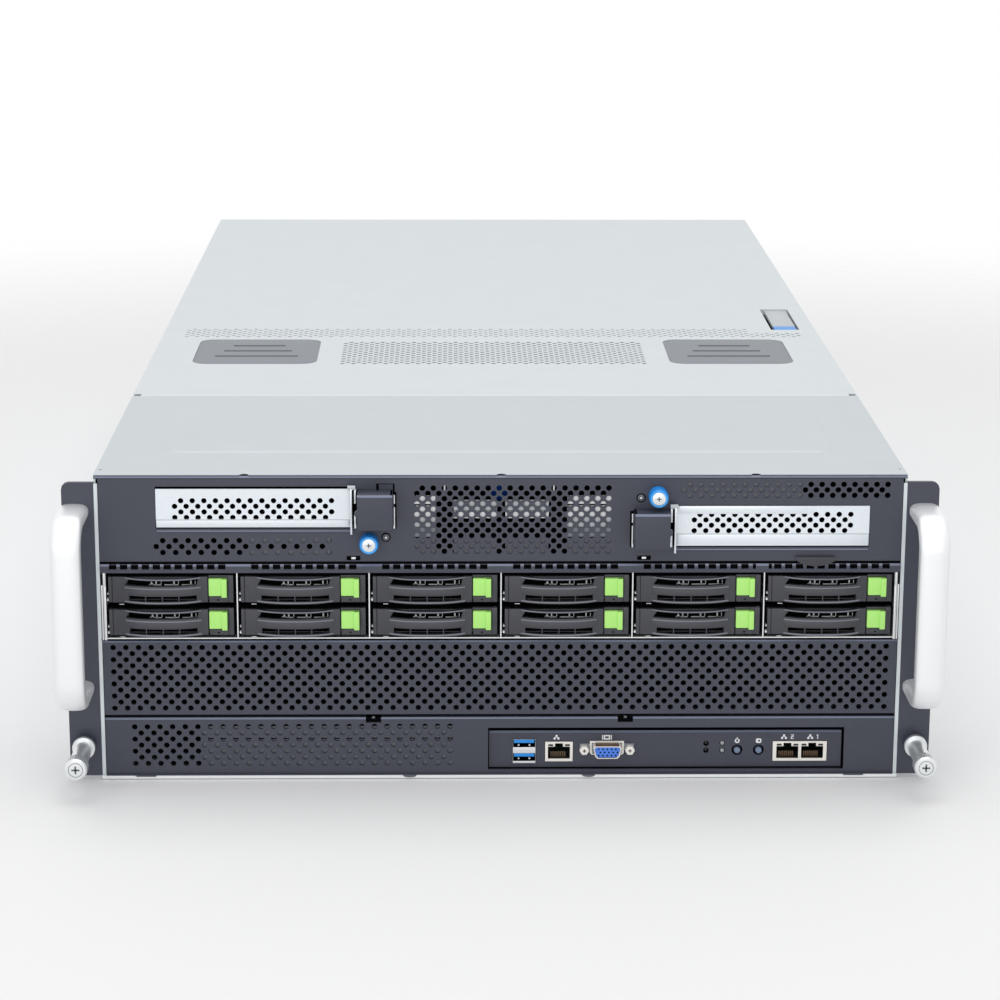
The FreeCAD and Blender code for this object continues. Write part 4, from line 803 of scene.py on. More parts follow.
# Black sheets behind the left of the vent and behind the notches: painted shade.
shells = [box((WIDE[0] + 2, PORT_X[0] - 3), (14.0, 15.0), (9.0, 34.0))]
shells += [box(about(x, NOTCH_W + 1), (PANEL_T + 0.1, PANEL_T + 0.5), (LOWER_Z[1] - 4.0, LOWER_Z[1] - 0.2))
           for x in NOTCH_X]
part("lower_vent_shade", DARK, shells)
part("lower_clips", ASH, [box(about(x, 1.6), (0.2, 1.0), about(LOWER_Z[1], 1.2)) for x in NOTCH_X],
     bevel=0.1)

# %% Lip and side gaps
LIP_Z = (0.2, 1.85)
LIP_Y = spans("chassis_tub")[1][0]
EDGE_Z = (2.41, 2.5)
outline = [(-HALF, LIP_Z[0]), (HALF, LIP_Z[0]), (HALF, LIP_Z[1])]
for x in TAB_X[::-1]:
    outline += [(x + 6.6, LIP_Z[1]), (x + 5.4, LIP_Z[1] - 1.0), (x - 5.4, LIP_Z[1] - 1.0), (x - 6.6, LIP_Z[1])]
outline.append((-HALF, LIP_Z[1]))
# A white strip over the tub's zinc lip: a painted highlight.
part("front_lip_highlight", WHITE, [plate([outline], front(LIP_Y - 0.12), (0, 0.12, 0))])
part("lip_rivets", ASH, [plate([arc(x, LIP_Z[1], 3.8, -1.3, 0, 180, 10)], front(LIP_Y - 0.4), (0, 0.4, 0))
                         for x in (-51.0, 49.6)])
part("lip_edge", PAINT, [bar(WIDE, [(LIP_Y - 0.1, LIP_Z[1]), (LIP_Y - 0.1, EDGE_Z[1]), (-0.02, EDGE_Z[1]),
                                    (-0.02, EDGE_Z[0]), (LIP_Y, EDGE_Z[0]), (LIP_Y, LIP_Z[1])])])
# Black strips in the gaps beside the panels: painted shade.
gap = (PANEL_HALF + 0.05, HALF - SHEET - 0.05)
part("side_gap_shade", DARK, [box(flip(side, *gap), (0.3, 0.9), (LOWER_Z[0], BEND_Z)) for side in (-1, 1)])


# %% [markdown]
# ## Port field
# The ports stand in a sunk field: a painted plate a little smaller than its window, so that a gap shows
# above and beside it. The walls of the window, the sheet behind the plate and rings behind the buttons are
# black: painted shade. The plate has one opening per socket and button.

# %% Places of the ports
BOARD_TOP = 7.4
SOCKET_Z = BOARD_TOP + 7.4
DOUBLE_X = 13.4
DOUBLE = (about(DOUBLE_X, 12.8), (BOARD_TOP, BOARD_TOP + 14.2))
JACKS = ((33.0, (25.2, 40.8)), (161.9, (153.6, 168.9)), (175.9, (168.9, 184.1)))
JACK_Z = (8.4, 20.0)
JACK_BLOCKS = [(x, JACK_Z) for x in (JACKS[0][1], (JACKS[1][1][0], JACKS[2][1][1]))]
VIDEO_X, VIDEO_Z = 60.0, SOCKET_Z + 1.1
BUTTONS = {"power": (133.5, SOCKET_Z), "id": (145.6, SOCKET_Z)}
LIGHTS = ((125.1, 18.9), (125.1, 14.5))
PINHOLES = ((116.0, 18.6), (116.0, 14.5))
BUTTON_HOLE = 3.1


def dee(top, low, half):
    """Outline of a D-shaped socket, wider above than below, with cut corners."""
    c = 0.35 * half
    side = [(low - c, -half), (low, c - half), (top, half - c), (top - c, half)]
    return [(VIDEO_X + u, VIDEO_Z + v) for u, v in side] + [(VIDEO_X - u, VIDEO_Z + v) for u, v in side[::-1]]


# %% Port plate
DEPTH = 3.0
PLATE_X, PLATE_Z = (PORT_X[0] + 0.6, PORT_X[1] - 1.1), (PORT_Z[0] + 0.5, PORT_Z[1] - 3.0)
PLATE_FOLD = PLATE_Z[1] - 1.3
LINING = 5.0
loops = [rect(PLATE_X, (PLATE_Z[0], PLATE_FOLD)), dee(8.2, 7.2, 4.0)]
loops += [rect(grown(x, GAP), grown(z, GAP)) for x, z in [DOUBLE] + JACK_BLOCKS]
loops += [ring(x, z, BUTTON_HOLE) for x, z in BUTTONS.values()]
loops += [ring(x, z, 1.6, 16) for x, z in LIGHTS + PINHOLES]
fold = brow(PLATE_X, DEPTH, DEPTH + SHEET, PLATE_FOLD, PLATE_Z[1], 1.0)
part("port_plate", PAINT, [plate(loops, front(DEPTH), (0, SHEET, 0)), fold], nodes=["io_ports"], edge=EDGE)
# Black lining, back sheet and button rings of the field: painted shade.
around = rect(grown(PORT_X, 0.4), grown(PORT_Z, 0.4))
openings = [rect(*DOUBLE), dee(7.9, 6.9, 3.7)] + [rect(x, z) for x, z in JACK_BLOCKS]
openings += [ring(x, z, BUTTON_HOLE + GAP) for x, z in BUTTONS.values()]
shells = [plate([around, rect(PORT_X, PORT_Z)], front(PANEL_T), (0, LINING, 0)),
          plate([around] + openings, front(PANEL_T + LINING), (0, 0.5, 0))]
shells += [plate([ring(x, z, BUTTON_HOLE + 0.2), ring(x, z, 1.9)], front(DEPTH + SHEET + 0.05), (0, 0.15, 0))
           for x, z in BUTTONS.values()]
part("port_field_shade", DARK, shells)


# %% [markdown]
# ## Sockets
# An empty box would read as a hole, so every socket has a shell, an inside painted dark as shade and what
# one sees in it: blue tongues and steel springs, brown contacts, a face with fifteen pin holes and two
# hexagonal studs. The pin holes and the crosses on the studs are dark dots and bars: painted shade.

# %% Double socket
RIM_Y, RIM_T = 2.2, 1.0
foot, head = DOUBLE[1]
mouths = [rect(grown(DOUBLE[0], -0.15), z) for z in ((foot + 1.2, foot + 5.9), (foot + 9.4, head - 0.1))]
springs = [turned([(3.0, 0.35), (3.2, 0.6), (5.0, 0.6)], (x, 0, z), 12)
           for z in (foot + 2.5, foot + 10.4) for x in (DOUBLE_X - 3.1, DOUBLE_X + 3.0)]
part("double_socket", STEEL, [plate([rect(*DOUBLE)] + mouths, front(RIM_Y), (0, RIM_T, 0))] + springs,
     bevel=0.15)
part("socket_tongues", BLUE, [box(grown(DOUBLE[0], -0.7), (2.5, 12.0), (z, z + 1.9))
                              for z in (foot + 3.8, foot + 11.9)], bevel=0.1)
# The inside of the double socket is black: painted shade.
part("double_socket_shade", DARK, [plate([rect(*DOUBLE)] + mouths, front(RIM_Y + RIM_T), (0, 11.0, 0))])

# %% Network jacks
MOUTH_HALF, KEY_HALF, KEY_H = 6.2, 2.2, 2.0
CONTACTS, CONTACT_STEP = 8, 1.1
low, high = JACK_Z[0] + 1.5, JACK_Z[1] - 2.9
rims, insides, lamps, contacts = [], [], [], []
for x, span in JACKS:
    mouth = [(x - MOUTH_HALF, low), (x + MOUTH_HALF, low), (x + MOUTH_HALF, high), (x + KEY_HALF, high),
             (x + KEY_HALF, high + KEY_H), (x - KEY_HALF, high + KEY_H), (x - KEY_HALF, high),
             (x - MOUTH_HALF, high)]
    rims.append(plate([rect(span, JACK_Z), mouth], front(RIM_Y), (0, RIM_T, 0)))
    insides.append(plate([rect(span, JACK_Z), mouth], front(RIM_Y + RIM_T), (0, 12.0, 0)))
    lamps += [box(about(x + side * 4.7, 2.7), (2.1, 2.4), (high + 0.4, high + 1.5)) for side in (-1, 1)]
    contacts += [box(about(x - 4.3 + k * CONTACT_STEP, 0.7), (6.2, 6.8), (low + 0.1, low + 3.1))
                 for k in range(CONTACTS)]
part("network_jacks", IVORY, rims, bevel=0.15)
part("jack_lamps", BLACK, lamps)
# The insides of the jacks are black: painted shade.
part("jack_inside_shade", BLACK, insides)
part("jack_contacts", GOLD_AND_SHADE, contacts)

# %% Video socket
NOSE_Y = -4.5
FLANGE_Y = (2.1, 2.9)
STUD_X = (VIDEO_X - 12.85, VIDEO_X + 12.85)
STUD_Y = -1.6
PIN_STEP, PIN_ROW = 2.4, 1.85
PIN_ROWS = ((1, -4.9), (0, -4.0), (-1, -4.9))
rim = [(-8.6, -3.6), (8.6, -3.6), (9.6, -2.6), (9.6, 4.5), (-9.6, 4.5), (-9.6, -2.6)]
rim_hole = [(-8.2, -3.2), (8.2, -3.2), (8.6, 3.5), (-8.6, 3.5)]
loops = [[(VIDEO_X + u, VIDEO_Z + v) for u, v in loop] for loop in (rim, rim_hole)]
studs = [plate([ring(x, VIDEO_Z, 2.7, 6)], front(STUD_Y), (0, 4.0, 0)) for x in STUD_X]
part("video_shell", IVORY, [plate(loops, front(FLANGE_Y[0]), (0, 0.8, 0))] + studs, bevel=0.15)
shells = [box(sorted((VIDEO_X + side * 9.5, VIDEO_X + side * 15.3)), FLANGE_Y, (VIDEO_Z - 0.6, VIDEO_Z + 3.0))
          for side in (-1, 1)]
shells.append(box(about(VIDEO_X, 17.6), (FLANGE_Y[0] + 0.4, FLANGE_Y[1]), (VIDEO_Z - 3.4, VIDEO_Z + 3.8)))
part("video_ears", GREY, shells, bevel=0.15)
tube = plate([dee(7.9, 6.9, 3.7), dee(7.3, 6.3, 3.15)], front(NOSE_Y), (0, FLANGE_Y[1] - NOSE_Y, 0))
# The top face of the nose takes the brown of the contacts: painted shade.
paint_light_on_faces(part("video_nose", IVORY, [tube], bevel=0.15), GOLD_AND_SHADE, up=0.8, lean=2.0)
part("video_face", VIOLET, [plate([dee(7.1, 6.1, 3.0)], front(NOSE_Y + 0.4), (0, 6.0, 0))], bevel=0.1)
# Dark discs for the pin holes and dark crosses on the studs: painted shade.
spots = [(VIDEO_X + first + k * PIN_STEP, 0, VIDEO_Z + row * PIN_ROW) for row, first in PIN_ROWS for k in range(5)]
shells = [turned([(NOSE_Y + 0.34, 0.5), (NOSE_Y + 1.0, 0.5)], spot, 10) for spot in spots]
for x in STUD_X:
    shells += cross(x, VIDEO_Z, STUD_Y - 0.05, 2.0, 0.5)
part("video_pin_hole_shade", DARK, shells)


# %% [markdown]
# ## Buttons, lamps and signs
# Two small push buttons, two lamps and two pinhole buttons share the right half of the field. Plain signs
# printed in white tell them apart: joined squares for a network, a screen, a switch ring, a tag. Print is
# a very thin plate here, so that it stays sharp at any distance.

# %% Signs
PRINT = 0.05
SIGN_Z = 22.5
INK_Y = (DEPTH - PRINT, DEPTH)


def ink(x, z, bars, size=1.0):
    """Printed bars, each a pair of spans about a point."""
    return [box((x + u[0] * size, x + u[1] * size), INK_Y, (z + v[0] * size, z + v[1] * size)) for u, v in bars]


def ink_ring(*loops):
    return plate(loops, front(INK_Y[0]), (0, PRINT, 0))


def sign(name, x, z, s):
    """Flat printed sign about a point of the port plate."""
    if name == "network":
        squares = [(about(u, 0.38), about(v, 0.36)) for u, v in ((0.0, 0.28), (-0.36, -0.26), (0.36, -0.26))]
        return ink(x, z, squares + [(about(0, 0.8), about(0, 0.1))], s)
    if name == "screen":
        screen = ink_ring(rect(about(x, 1.25 * s), about(z, 0.95 * s)), rect(about(x, 0.7 * s), about(z, 0.4 * s)))
        return [screen] + ink(x, z, [(about(u, 0.2), about(0, 0.95)) for u in (-0.85, 0.85)], s)
    if name == "power":
        dial = ink_ring(ring(x, z, 0.5 * s), ring(x, z, 0.24 * s, 16))
        return [dial] + ink(x, z, [(about(0, 0.2), (0.2, 0.72))], s)
    return [ink_ring(rounded(about(x, 1.1 * s), about(z, 0.95 * s), 0.3 * s),
                     rounded(about(x + 0.1 * s, 0.44 * s), about(z, 0.38 * s), 0.1 * s))]


ONE = (((-0.2, 0.25), (-1.3, 1.3)), ((-0.65, -0.2), (0.7, 1.1)))
TWO = (((-0.8, 0.8), (0.9, 1.3)), ((0.35, 0.8), (0.0, 0.9)), ((-0.8, 0.8), (-0.2, 0.2)),
       ((-0.8, -0.35), (-0.9, -0.2)), ((-0.8, 0.8), (-1.3, -0.9)))
shells = []
for (x, span), shift in zip(JACKS, (-1.4, -2.0, -1.2)):
    shells += sign("network", x + shift, SIGN_Z, 3.0)
shells += sign("screen", VIDEO_X, SIGN_Z - 0.1, 2.9)
for name, (x, z) in BUTTONS.items():
    shells += sign(name, x, z + 5.4, 2.8)
part("port_signs", WHITE, shells + ink(JACKS[1][0] + 2.6, SIGN_Z, TWO) + ink(JACKS[2][0] + 3.0, SIGN_Z, ONE))

# %% Buttons, lamps and pinholes
CAP_R = 1.75
CAP_PROFILE = [(1.6, CAP_R - 0.7), (1.65, CAP_R - 0.4), (1.9, CAP_R - 0.05), (4.5, CAP_R),
               (4.5, 2.4), (5.7, 2.4), (5.7, 1.0), (7.2, 1.0)]
LAMP_PROFILE = [(2.6, 0.7), (2.8, 1.1), (4.6, 1.2)]
PIN_PROFILE = [(4.0, 0.6), (4.1, 0.8), (5.6, 0.8)]
for name, (x, z) in BUTTONS.items():
    part(name + "_cap", KEYCAP, [turned(CAP_PROFILE, (x, 0, z), 28)], name + "_button", [name + "_button"])
part("status_lamps", LAMP, [turned(LAMP_PROFILE, (x, 0, z), 16) for x, z in LIGHTS])
part("pinhole_buttons", BLACK, [turned(PIN_PROFILE, (x, 0, z), 12) for x, z in PINHOLES])


# %% [markdown]
# ## Drive carriers
# Twelve carriers fill the cage. One is modelled about its own middle and then copied, with its place in
# each copy's mesh. Its lever bows forward between two flat ends and has two long windows. The lever is
# cut from one bent bar, and raised edges on its three rails give the pale lines along them, with a painted
# highlight on the faces that lean up and forward.

# %% Sizes of a carrier
BEZEL_W, BEZEL_H = 68.8, 15.5
PIVOT_X = -31.4
LEVER_X, LEVER_Z = (-32.8, 20.3), (-7.4, 7.25)
LEVER_T = 2.8
BOW = 3.8
BOW_X = (-26.2, 17.4)
BOW_SHAPE = 2.6
FLARE, SINK = 0.05, 0.08
WINDOW_X = (-23.0, 14.4)
UPPER_WINDOW, LOWER_WINDOW = (2.7, 6.3), (-6.1, -3.0)


def bulge(x):
    """How far the lever stands forward at a place along it."""
    s = 2 * (x - BOW_X[0]) / (BOW_X[1] - BOW_X[0]) - 1
    return BOW * (1 - abs(s) ** BOW_SHAPE) if abs(s) < 1 else 0.0


def sway(x, z):
    """Height of a point of the lever: with the bow its upper edge sinks and its lower edge flares."""
    return z * (1 + (FLARE if z < 0 else -SINK) * bulge(x) / BOW)


def steps_along(span, steps):
    return [span[0] + (span[1] - span[0]) * k / steps for k in range(steps + 1)]


# %% Lever
def carve(piece, windows, depth, bevel):
    """Cuts windows through a piece from the front and rounds what is left."""
    cutters = [plate([loop], front(depth[0]), (0, depth[1] - depth[0], 0)) for loop in windows]
    tool = shape("window_cutter", DARK, cutters)
    work = piece.modifiers.new("windows", "BOOLEAN")
    work.object = tool
    work.operation = "DIFFERENCE"
    work.solver = "EXACT"
    round_edges(piece, bevel, 3)
    bake(piece)
    bpy.data.objects.remove(tool)


def lever_form():
    t = LEVER_T / 2
    xs = steps_along(BOW_X, 28)
    outline = arc(PIVOT_X, 0.0, t, t, 90, 180, 8) + [(x, -t - bulge(x)) for x in xs]
    outline += [(LEVER_X[1], -t), (LEVER_X[1], t)] + [(x, t - bulge(x)) for x in xs[::-1]]
    lever = shape("lever", CHARCOAL, [plate([outline], plan(LEVER_Z[0]), (0, 0, LEVER_Z[1] - LEVER_Z[0]))])
    upper = [(WINDOW_X[0] - 2.2, UPPER_WINDOW[0]), (WINDOW_X[1], UPPER_WINDOW[0]),
             (WINDOW_X[1] + 0.8, UPPER_WINDOW[1]), (WINDOW_X[0], UPPER_WINDOW[1])]
    carve(lever, [upper, rect(WINDOW_X, LOWER_WINDOW)], (-BOW - t - 1, t + 1), 0.6)
    for v in lever.data.vertices:
        v.co.z = sway(v.co.x / MM, v.co.z / MM) * MM
    # Faces that lean up and forward get the paler charcoal: a painted highlight.
    return paint_light_on_faces(lever, CHARCOAL_HIGHLIGHT)


# %% Raised edges and ribs of the lever
RIB_X = (-13.7, -4.4, 4.6)
RAIL_X = (-25.4, 16.6)
RAILS = ((6.35, 7.2), (-2.6, 1.6), (-7.35, -6.25))
RISE = 0.3


def rib_form():
    """Raised edges on the three rails and thin upright ribs in the lower window of the lever."""
    shells = []
    for low, high in RAILS:
        section = ((GAP, low), (-RISE, low + RISE), (-RISE, high - 2 * RISE), (0.0, high), (GAP, high))
        shells.append(skin([[(x, out - LEVER_T / 2 - bulge(x), sway(x, z)) for out, z in section]
                            for x in steps_along(RAIL_X, 20)]))
    for x in RIB_X:
        back = LEVER_T / 2 - bulge(x)
        tall = (LOWER_WINDOW[0] - 0.6, LOWER_WINDOW[1] + 0.4)
        shells.append(box(about(x, 0.55), (back - 2.3, back - 0.2), tall))
    # Faces that lean up and forward get the paler charcoal: a painted highlight.
    return paint_light_on_faces(shape("ribs", CHARCOAL, shells), CHARCOAL_HIGHLIGHT)


# %% Bezel and release button
RELEASE_X, RELEASE_Z = (21.0, 31.0), (-3.6, 6.2)
RELEASE_RIB = 3.0
POCKET = grown(RELEASE_X, GAP)
POST_Y = (-0.4, 2.5)


def bezel_form():
    half_w, half_h = BEZEL_W / 2, BEZEL_H / 2
    loops = [rect((-half_w, half_w), (-7.0, 6.2)), rect(grown(WINDOW_X, 1.0), (0.4, 5.6)),
             rect(WINDOW_X, (-6.6, -3.9))]
    return shape("bezel", CHARCOAL, [
        plate(loops, front(2.0), (0, 3.0, 0)),
        box((-half_w, LEVER_X[0] - GAP), (-LEVER_T / 2, 2.5), LEVER_Z),
        box((LEVER_X[0] - GAP - 0.3, LEVER_X[0] + GAP), (-LEVER_T / 2, -0.95), LEVER_Z),
        box((POCKET[1], half_w), POST_Y, (-half_h, half_h)),
        box((RELEASE_X[0], POCKET[1] + 0.5), POST_Y, (-half_h, RELEASE_Z[0] - 0.9)),
        box((POCKET[0], POCKET[1] + 0.5), POST_Y, (RELEASE_Z[1] + GAP, half_h))], bevel=0.15)


def release_form():
    rib = box((RELEASE_X[1] - RELEASE_RIB, RELEASE_X[1]), (-3.6, -1.0), (RELEASE_Z[0] - 0.7, RELEASE_Z[1]))
    return shape("release", GREEN, [box(RELEASE_X, (-2.6, 2.6), RELEASE_Z), rib], bevel=0.35)


# %% Drive and fittings of a carrier
TRAY_HALF = 35.6
TRAY_FOOT = -9.15
TRAY_Y = (10.0, 116.0)


def back_form():
    """Black box inside the bezel, which also closes its windows: painted shade seen through them."""
    return shape("window_shade_box", DARK, [box((-TRAY_HALF, TRAY_HALF), (5.0, TRAY_Y[0]), (TRAY_FOOT, BEZEL_H / 2)),
                                     box(about(26.0, 1.0), (-0.5, -0.35), about(-6.4, 0.8))])


def drive_form():
    """Side rails, rear tie and the drive of one carrier."""
    shells = [box(flip(side, TRAY_HALF, TRAY_HALF - 0.6), TRAY_Y, (TRAY_FOOT, 2.0)) for side in (-1, 1)]
    shells += [box((-TRAY_HALF, TRAY_HALF), (113.0, TRAY_Y[1]), (TRAY_FOOT, TRAY_FOOT + 6.0)),
               box((-34.7, 34.7), (10.2, 110.0), (-8.35, 6.65)),
               box(about(PIVOT_X + 4.0, 3.0), (0.0, 1.0), (TRAY_FOOT, TRAY_FOOT + 0.4))]
    return shape("drive", STEEL, shells, bevel=0.3)


def lattice_form():
    """Light metal springs behind the upper window."""
    y = (1.5, 1.9)
    foot, head = 1.5, 4.2
    shells = []
    for a, b, post in ((-12.2, -5.3, -8.3), (-3.7, 4.2, 1.6), (5.8, 13.5, 10.9)):
        shells += [box((a, b), y, (foot, foot + 0.55)), box(about(post, 0.8), y, (foot - 0.6, head)),
                   box((b - 0.35, b), y, (foot, head))]
    shells.append(plate([[(-12.0, foot), (-9.6, foot), (-10.8, head - 0.3)]], front(y[0]), (0, 0.4, 0)))
    return shape("lattice", WHITE, shells)


def pipe_form():
    """Two light pipes at the left end of the bezel."""
    return shape("pipes", WHITE, [
        turned([(-0.9, 0.4 * r), (-0.7, 0.8 * r), (-0.2, r), (2.4, r)], (-34.85, 0, z), 14)
        for z, r in ((-6.3, 0.75), (-2.8, 0.5))])


# %% Fill the bays
CAGE = spans("drive_cage")
BAYS = 12
FLOOR_Z = CAGE[2][0] + SHEET
ROW = 18.9
CARRIER = (
    ("drive_carrier_form", bezel_form(), "drive_carrier", True, None),
    ("carrier_lever_form", lever_form(), "carrier_lever", True, None),
    ("carrier_release_form", release_form(), "carrier_release", True, None),
    ("window_shade_box", back_form(), "drive_carrier", False, None),
    ("drive_body", drive_form(), "drive_carrier", False, None),
    ("window_lattice", lattice_form(), "drive_carrier", False, "bright_steel"),
    ("light_pipes", pipe_form(), "drive_carrier", False, None),
    ("lever_ribs", rib_form(), "carrier_lever", False, None),
)


def copy_to(master, name, x, z):
    """Copy of a master with its place in its own mesh."""
    mesh = master.data.copy()
    mesh.transform(Matrix.Translation((x * MM, 0, z * MM)))
    mesh.name = name
    return link(name, mesh)


for n in range(BAYS):
    number = "_%02d" % (n + 1)
    x, z = BAY_X[n % COLUMNS], FLOOR_Z + (1.5 - n // COLUMNS) * ROW
    for name, master, body, stands, slot in CARRIER:
        mount(copy_to(master, name + number, x, z), body + number, [body + number] if stands else ())
for row in CARRIER:
    bpy.data.objects.remove(row[1])
print("bays filled", BAYS)


# %% [markdown]
# ## Cage edges
# The cage shows only its edges: the dividers and the floor are kept solids, but the outer walls have a
# joggled front edge. Thin black strips beside each divider, under the roof and along the floor are painted
# shade, so the gaps look dark.

# %% Cage edges
WALLS = ((221.0, 220.2, 81.2, 113.0), (219.9, 218.4, 81.2, 112.0), (219.9, 219.1, 112.0, 120.0))
CAGE_SHADE_Y = (-0.12, 0.3)
CAGE_HALF, CAGE_Z = CAGE[0][1], CAGE[2]
part("cage_edges", STEEL, [box(flip(side, a, b), (-0.8, 0.0), (low, high))
                           for side in (-1, 1) for a, b, low, high in WALLS], bevel=0.15)
shells = [box((1 - CAGE_HALF, CAGE_HALF - 1), (-0.2, 60.0), (CAGE_Z[1] - 1.5, CAGE_Z[1] - 1.25))]
shells += [box(about((x + after) / 2 + side * 0.6, 0.5), CAGE_SHADE_Y, (FLOOR_Z, CAGE_Z[1] - 1.5))
           for x, after in zip(BAY_X, BAY_X[1:]) for side in (-1, 1)]
shells.append(box((0.5 - CAGE_HALF, CAGE_HALF - 0.5), CAGE_SHADE_Y, (CAGE_Z[0], CAGE_Z[0] + 0.5)))
part("cage_gap_shade", DARK, shells)


# %% [markdown]
# ## Handles and rack screws
# A bow handle is an oval bar bent twice. It is swept here as rings of points along the bend, with its
# brushed lines drawn along the grip. The captive screws have a ribbed head, with a dark ring and cross on
# its face: painted shade for a groove and a cross recess.

# %% Handles
HANDLE_X = (-HALF - 11.4, HALF + 9.9)
HANDLE_W, HANDLE_T = 16.6, 9.0
HANDLE_Z = (53.2, 154.8)
HANDLE_OUT = 37.5
HANDLE_BEND = 14.0
OVAL = 0.7


def handle_path():
    """Points and headings along the middle of a handle, in its side view."""
    r = HANDLE_BEND
    turns = [math.radians(7.5 * k) for k in range(13)]
    y = r - HANDLE_OUT
    low = [((y - r * math.sin(a), HANDLE_Z[0] + r - r * math.cos(a)), a) for a in turns]
    high = [((y - r * math.cos(a), HANDLE_Z[1] - r + r * math.sin(a)), a + math.pi / 2) for a in turns]
    return [((0.0, HANDLE_Z[0]), 0.0)] + low + high + [((0.0, HANDLE_Z[1]), math.pi)]


def handle(x, sides=28):
    """Oval bar swept along the path."""
    oval = [[math.copysign(abs(f) ** OVAL, f) for f in point] for point in ring(0, 0, 1, sides)]
    return skin([[(x + HANDLE_W / 2 * wide, y + HANDLE_T / 2 * deep * math.sin(heading),
                   z + HANDLE_T / 2 * deep * math.cos(heading)) for wide, deep in oval]
                 for (y, z), heading in handle_path()])


part("bow_handles", ALUMINIUM, [handle(x) for x in HANDLE_X], nodes=["ear_handles"])

# %% Rack screws
RACK_X, RACK_Z = 232.55, 20.8
HEAD_Y, HEAD_R = -45.0, 6.1
STEM_R = 4.9
SCREW_PROFILE = [
    (HEAD_Y, 5.0), (HEAD_Y + 0.1, 5.5), (HEAD_Y + 0.9, HEAD_R), (HEAD_Y + 8.4, HEAD_R), (HEAD_Y + 9.4, 5.6),
    (HEAD_Y + 10.0, STEM_R), (-9.5, STEM_R), (-9.5, 6.3), (-7.0, 6.3), (-6.4, 5.6), (-6.4, 4.0), (-1.0, 4.0),
    (-1.0, 2.1), (3.5, 2.1), (3.5, 2.5), (16.5, 2.5)]
for side, x in (("left", -RACK_X), ("right", RACK_X)):
    body = "rack_screw_" + side
    screw = shape("captive_screw_" + side, STEEL, [turned(SCREW_PROFILE, (x, 0, RACK_Z), 40)])
    mount(ribs(screw, 30, HEAD_R - 0.05, 0.38, 6.9, (x, HEAD_Y + 4.6, RACK_Z)), body, [body])
    # The dark ring and cross on the head: painted shade.
    groove = plate([ring(x, RACK_Z, 4.1), ring(x, RACK_Z, 3.8)], front(HEAD_Y - 0.05), (0, 0.1, 0))
    recess = [groove] + cross(x, RACK_Z, HEAD_Y - 0.06, 4.4, 1.0)
    part("captive_recess_shade_" + side, ASH, recess, body)


# %% [markdown]
# ## Front cover and lid
# The fixed cover has a wide raised field with soft sides, which stiffens the sheet. The lid behind it
# slides back. It has a vent between two moulded grip pads, a long vent strip and a latch with a blue tip.

# %% Front cover
COVER_END = spans("front_top_cover")[1][1]
FIELD_X, FIELD_Y = (-190.0, 190.0), (52.0, 170.0)
FIELD_RISE = 1.0
SLOPE, SLOPE_STEPS = 5.0, 6
UNDERCUT = 1.8
LOW = TOP - SHEET
WALL = (HALF - SHEET - GAP, HALF - 2 * SHEET - GAP)
WALL_H = 10.0


def cover_sheet(bm):
    """Sheet with notches in its front edge, two pin holes and a raised field, as an upper and a lower skin."""
    outline = [(-HALF, COVER_END), (-HALF, 0.0)]
    for x in (-141.0, 0.0, 140.0):
        outline += arc(x, 0.0, -2.6, 2.6, 0, 180, 8)
    outline += [(HALF, 0.0), (HALF, COVER_END)]
    pins = [ring(x, 12.6, 0.9, 10) for x in (2.6 - HALF, HALF - 2.6)]
    rims = []
    for k in range(SLOPE_STEPS + 1):
        grow = SLOPE * (0.5 - k / SLOPE_STEPS)
        rise = FIELD_RISE * 0.5 * (1 - math.cos(math.pi * k / SLOPE_STEPS))
        rims.append((rounded(grown(FIELD_X, grow), grown(FIELD_Y, grow), 12.0 + grow, 8), rise))
    skins = []
    for base, back in ((TOP, 0.0), (LOW, UNDERCUT)):
        edge = [(u, v + (back if v < COVER_END else 0.0)) for u, v in outline]
        edges = [[bm.verts.new(Vector((u, v, base)) * MM) for u, v in loop] for loop in (edge, *pins)]
        rows = [[bm.verts.new(Vector((u, v, base + rise)) * MM) for u, v in rim] for rim, rise in rims]
        fill(bm, [edges[0], rows[0], *edges[1:]])
        for a, b in zip(rows, rows[1:]):
            bridge(bm, a, b)
        bm.faces.new(rows[-1])
        skins.append(edges)
    for high, low in zip(*skins):
        bridge(bm, high, low)


walls = [box(flip(side, *WALL), (19.0, COVER_END - 12.0), (LOW - WALL_H, LOW)) for side in (-1, 1)]
# The cover's zinc is a darker copy of the lid's: painted shade.
part("front_cover", COVER, [cover_sheet] + walls, nodes=["front_top_cover"])

# %% Lid
LID_Y = (COVER_END + 0.8, REAR)
PAD_X, PAD_Y = (115.0, 196.0), (297.5, 379.0)
PAD_R = 10.0
LID_PITCH = 7.0
LATCH_X = (195.8, 211.2)
LATCH_LONG = (415.0, 487.0)
WINDOW = ((LATCH_X[0] - 2.8, LATCH_X[1] + 1.4), (LATCH_LONG[0] - 2.0, LATCH_LONG[1] + 1.5))
SKIN = 0.8
SKIN_LOW = TOP - SKIN
NECK = HALF - 5.0
NECK_Y = LID_Y[0] + 4.0
LIP_END = LID_Y[0] + 1.0
outline = [(-NECK, LIP_END), (NECK, LIP_END), (NECK, NECK_Y), (HALF, NECK_Y), (HALF, LID_Y[1]),
           (-HALF, LID_Y[1]), (-HALF, NECK_Y), (-NECK, NECK_Y)]
loops = [outline, rect(*WINDOW)] + [rounded(flip(side, *PAD_X), PAD_Y, PAD_R) for side in (-1, 1)]
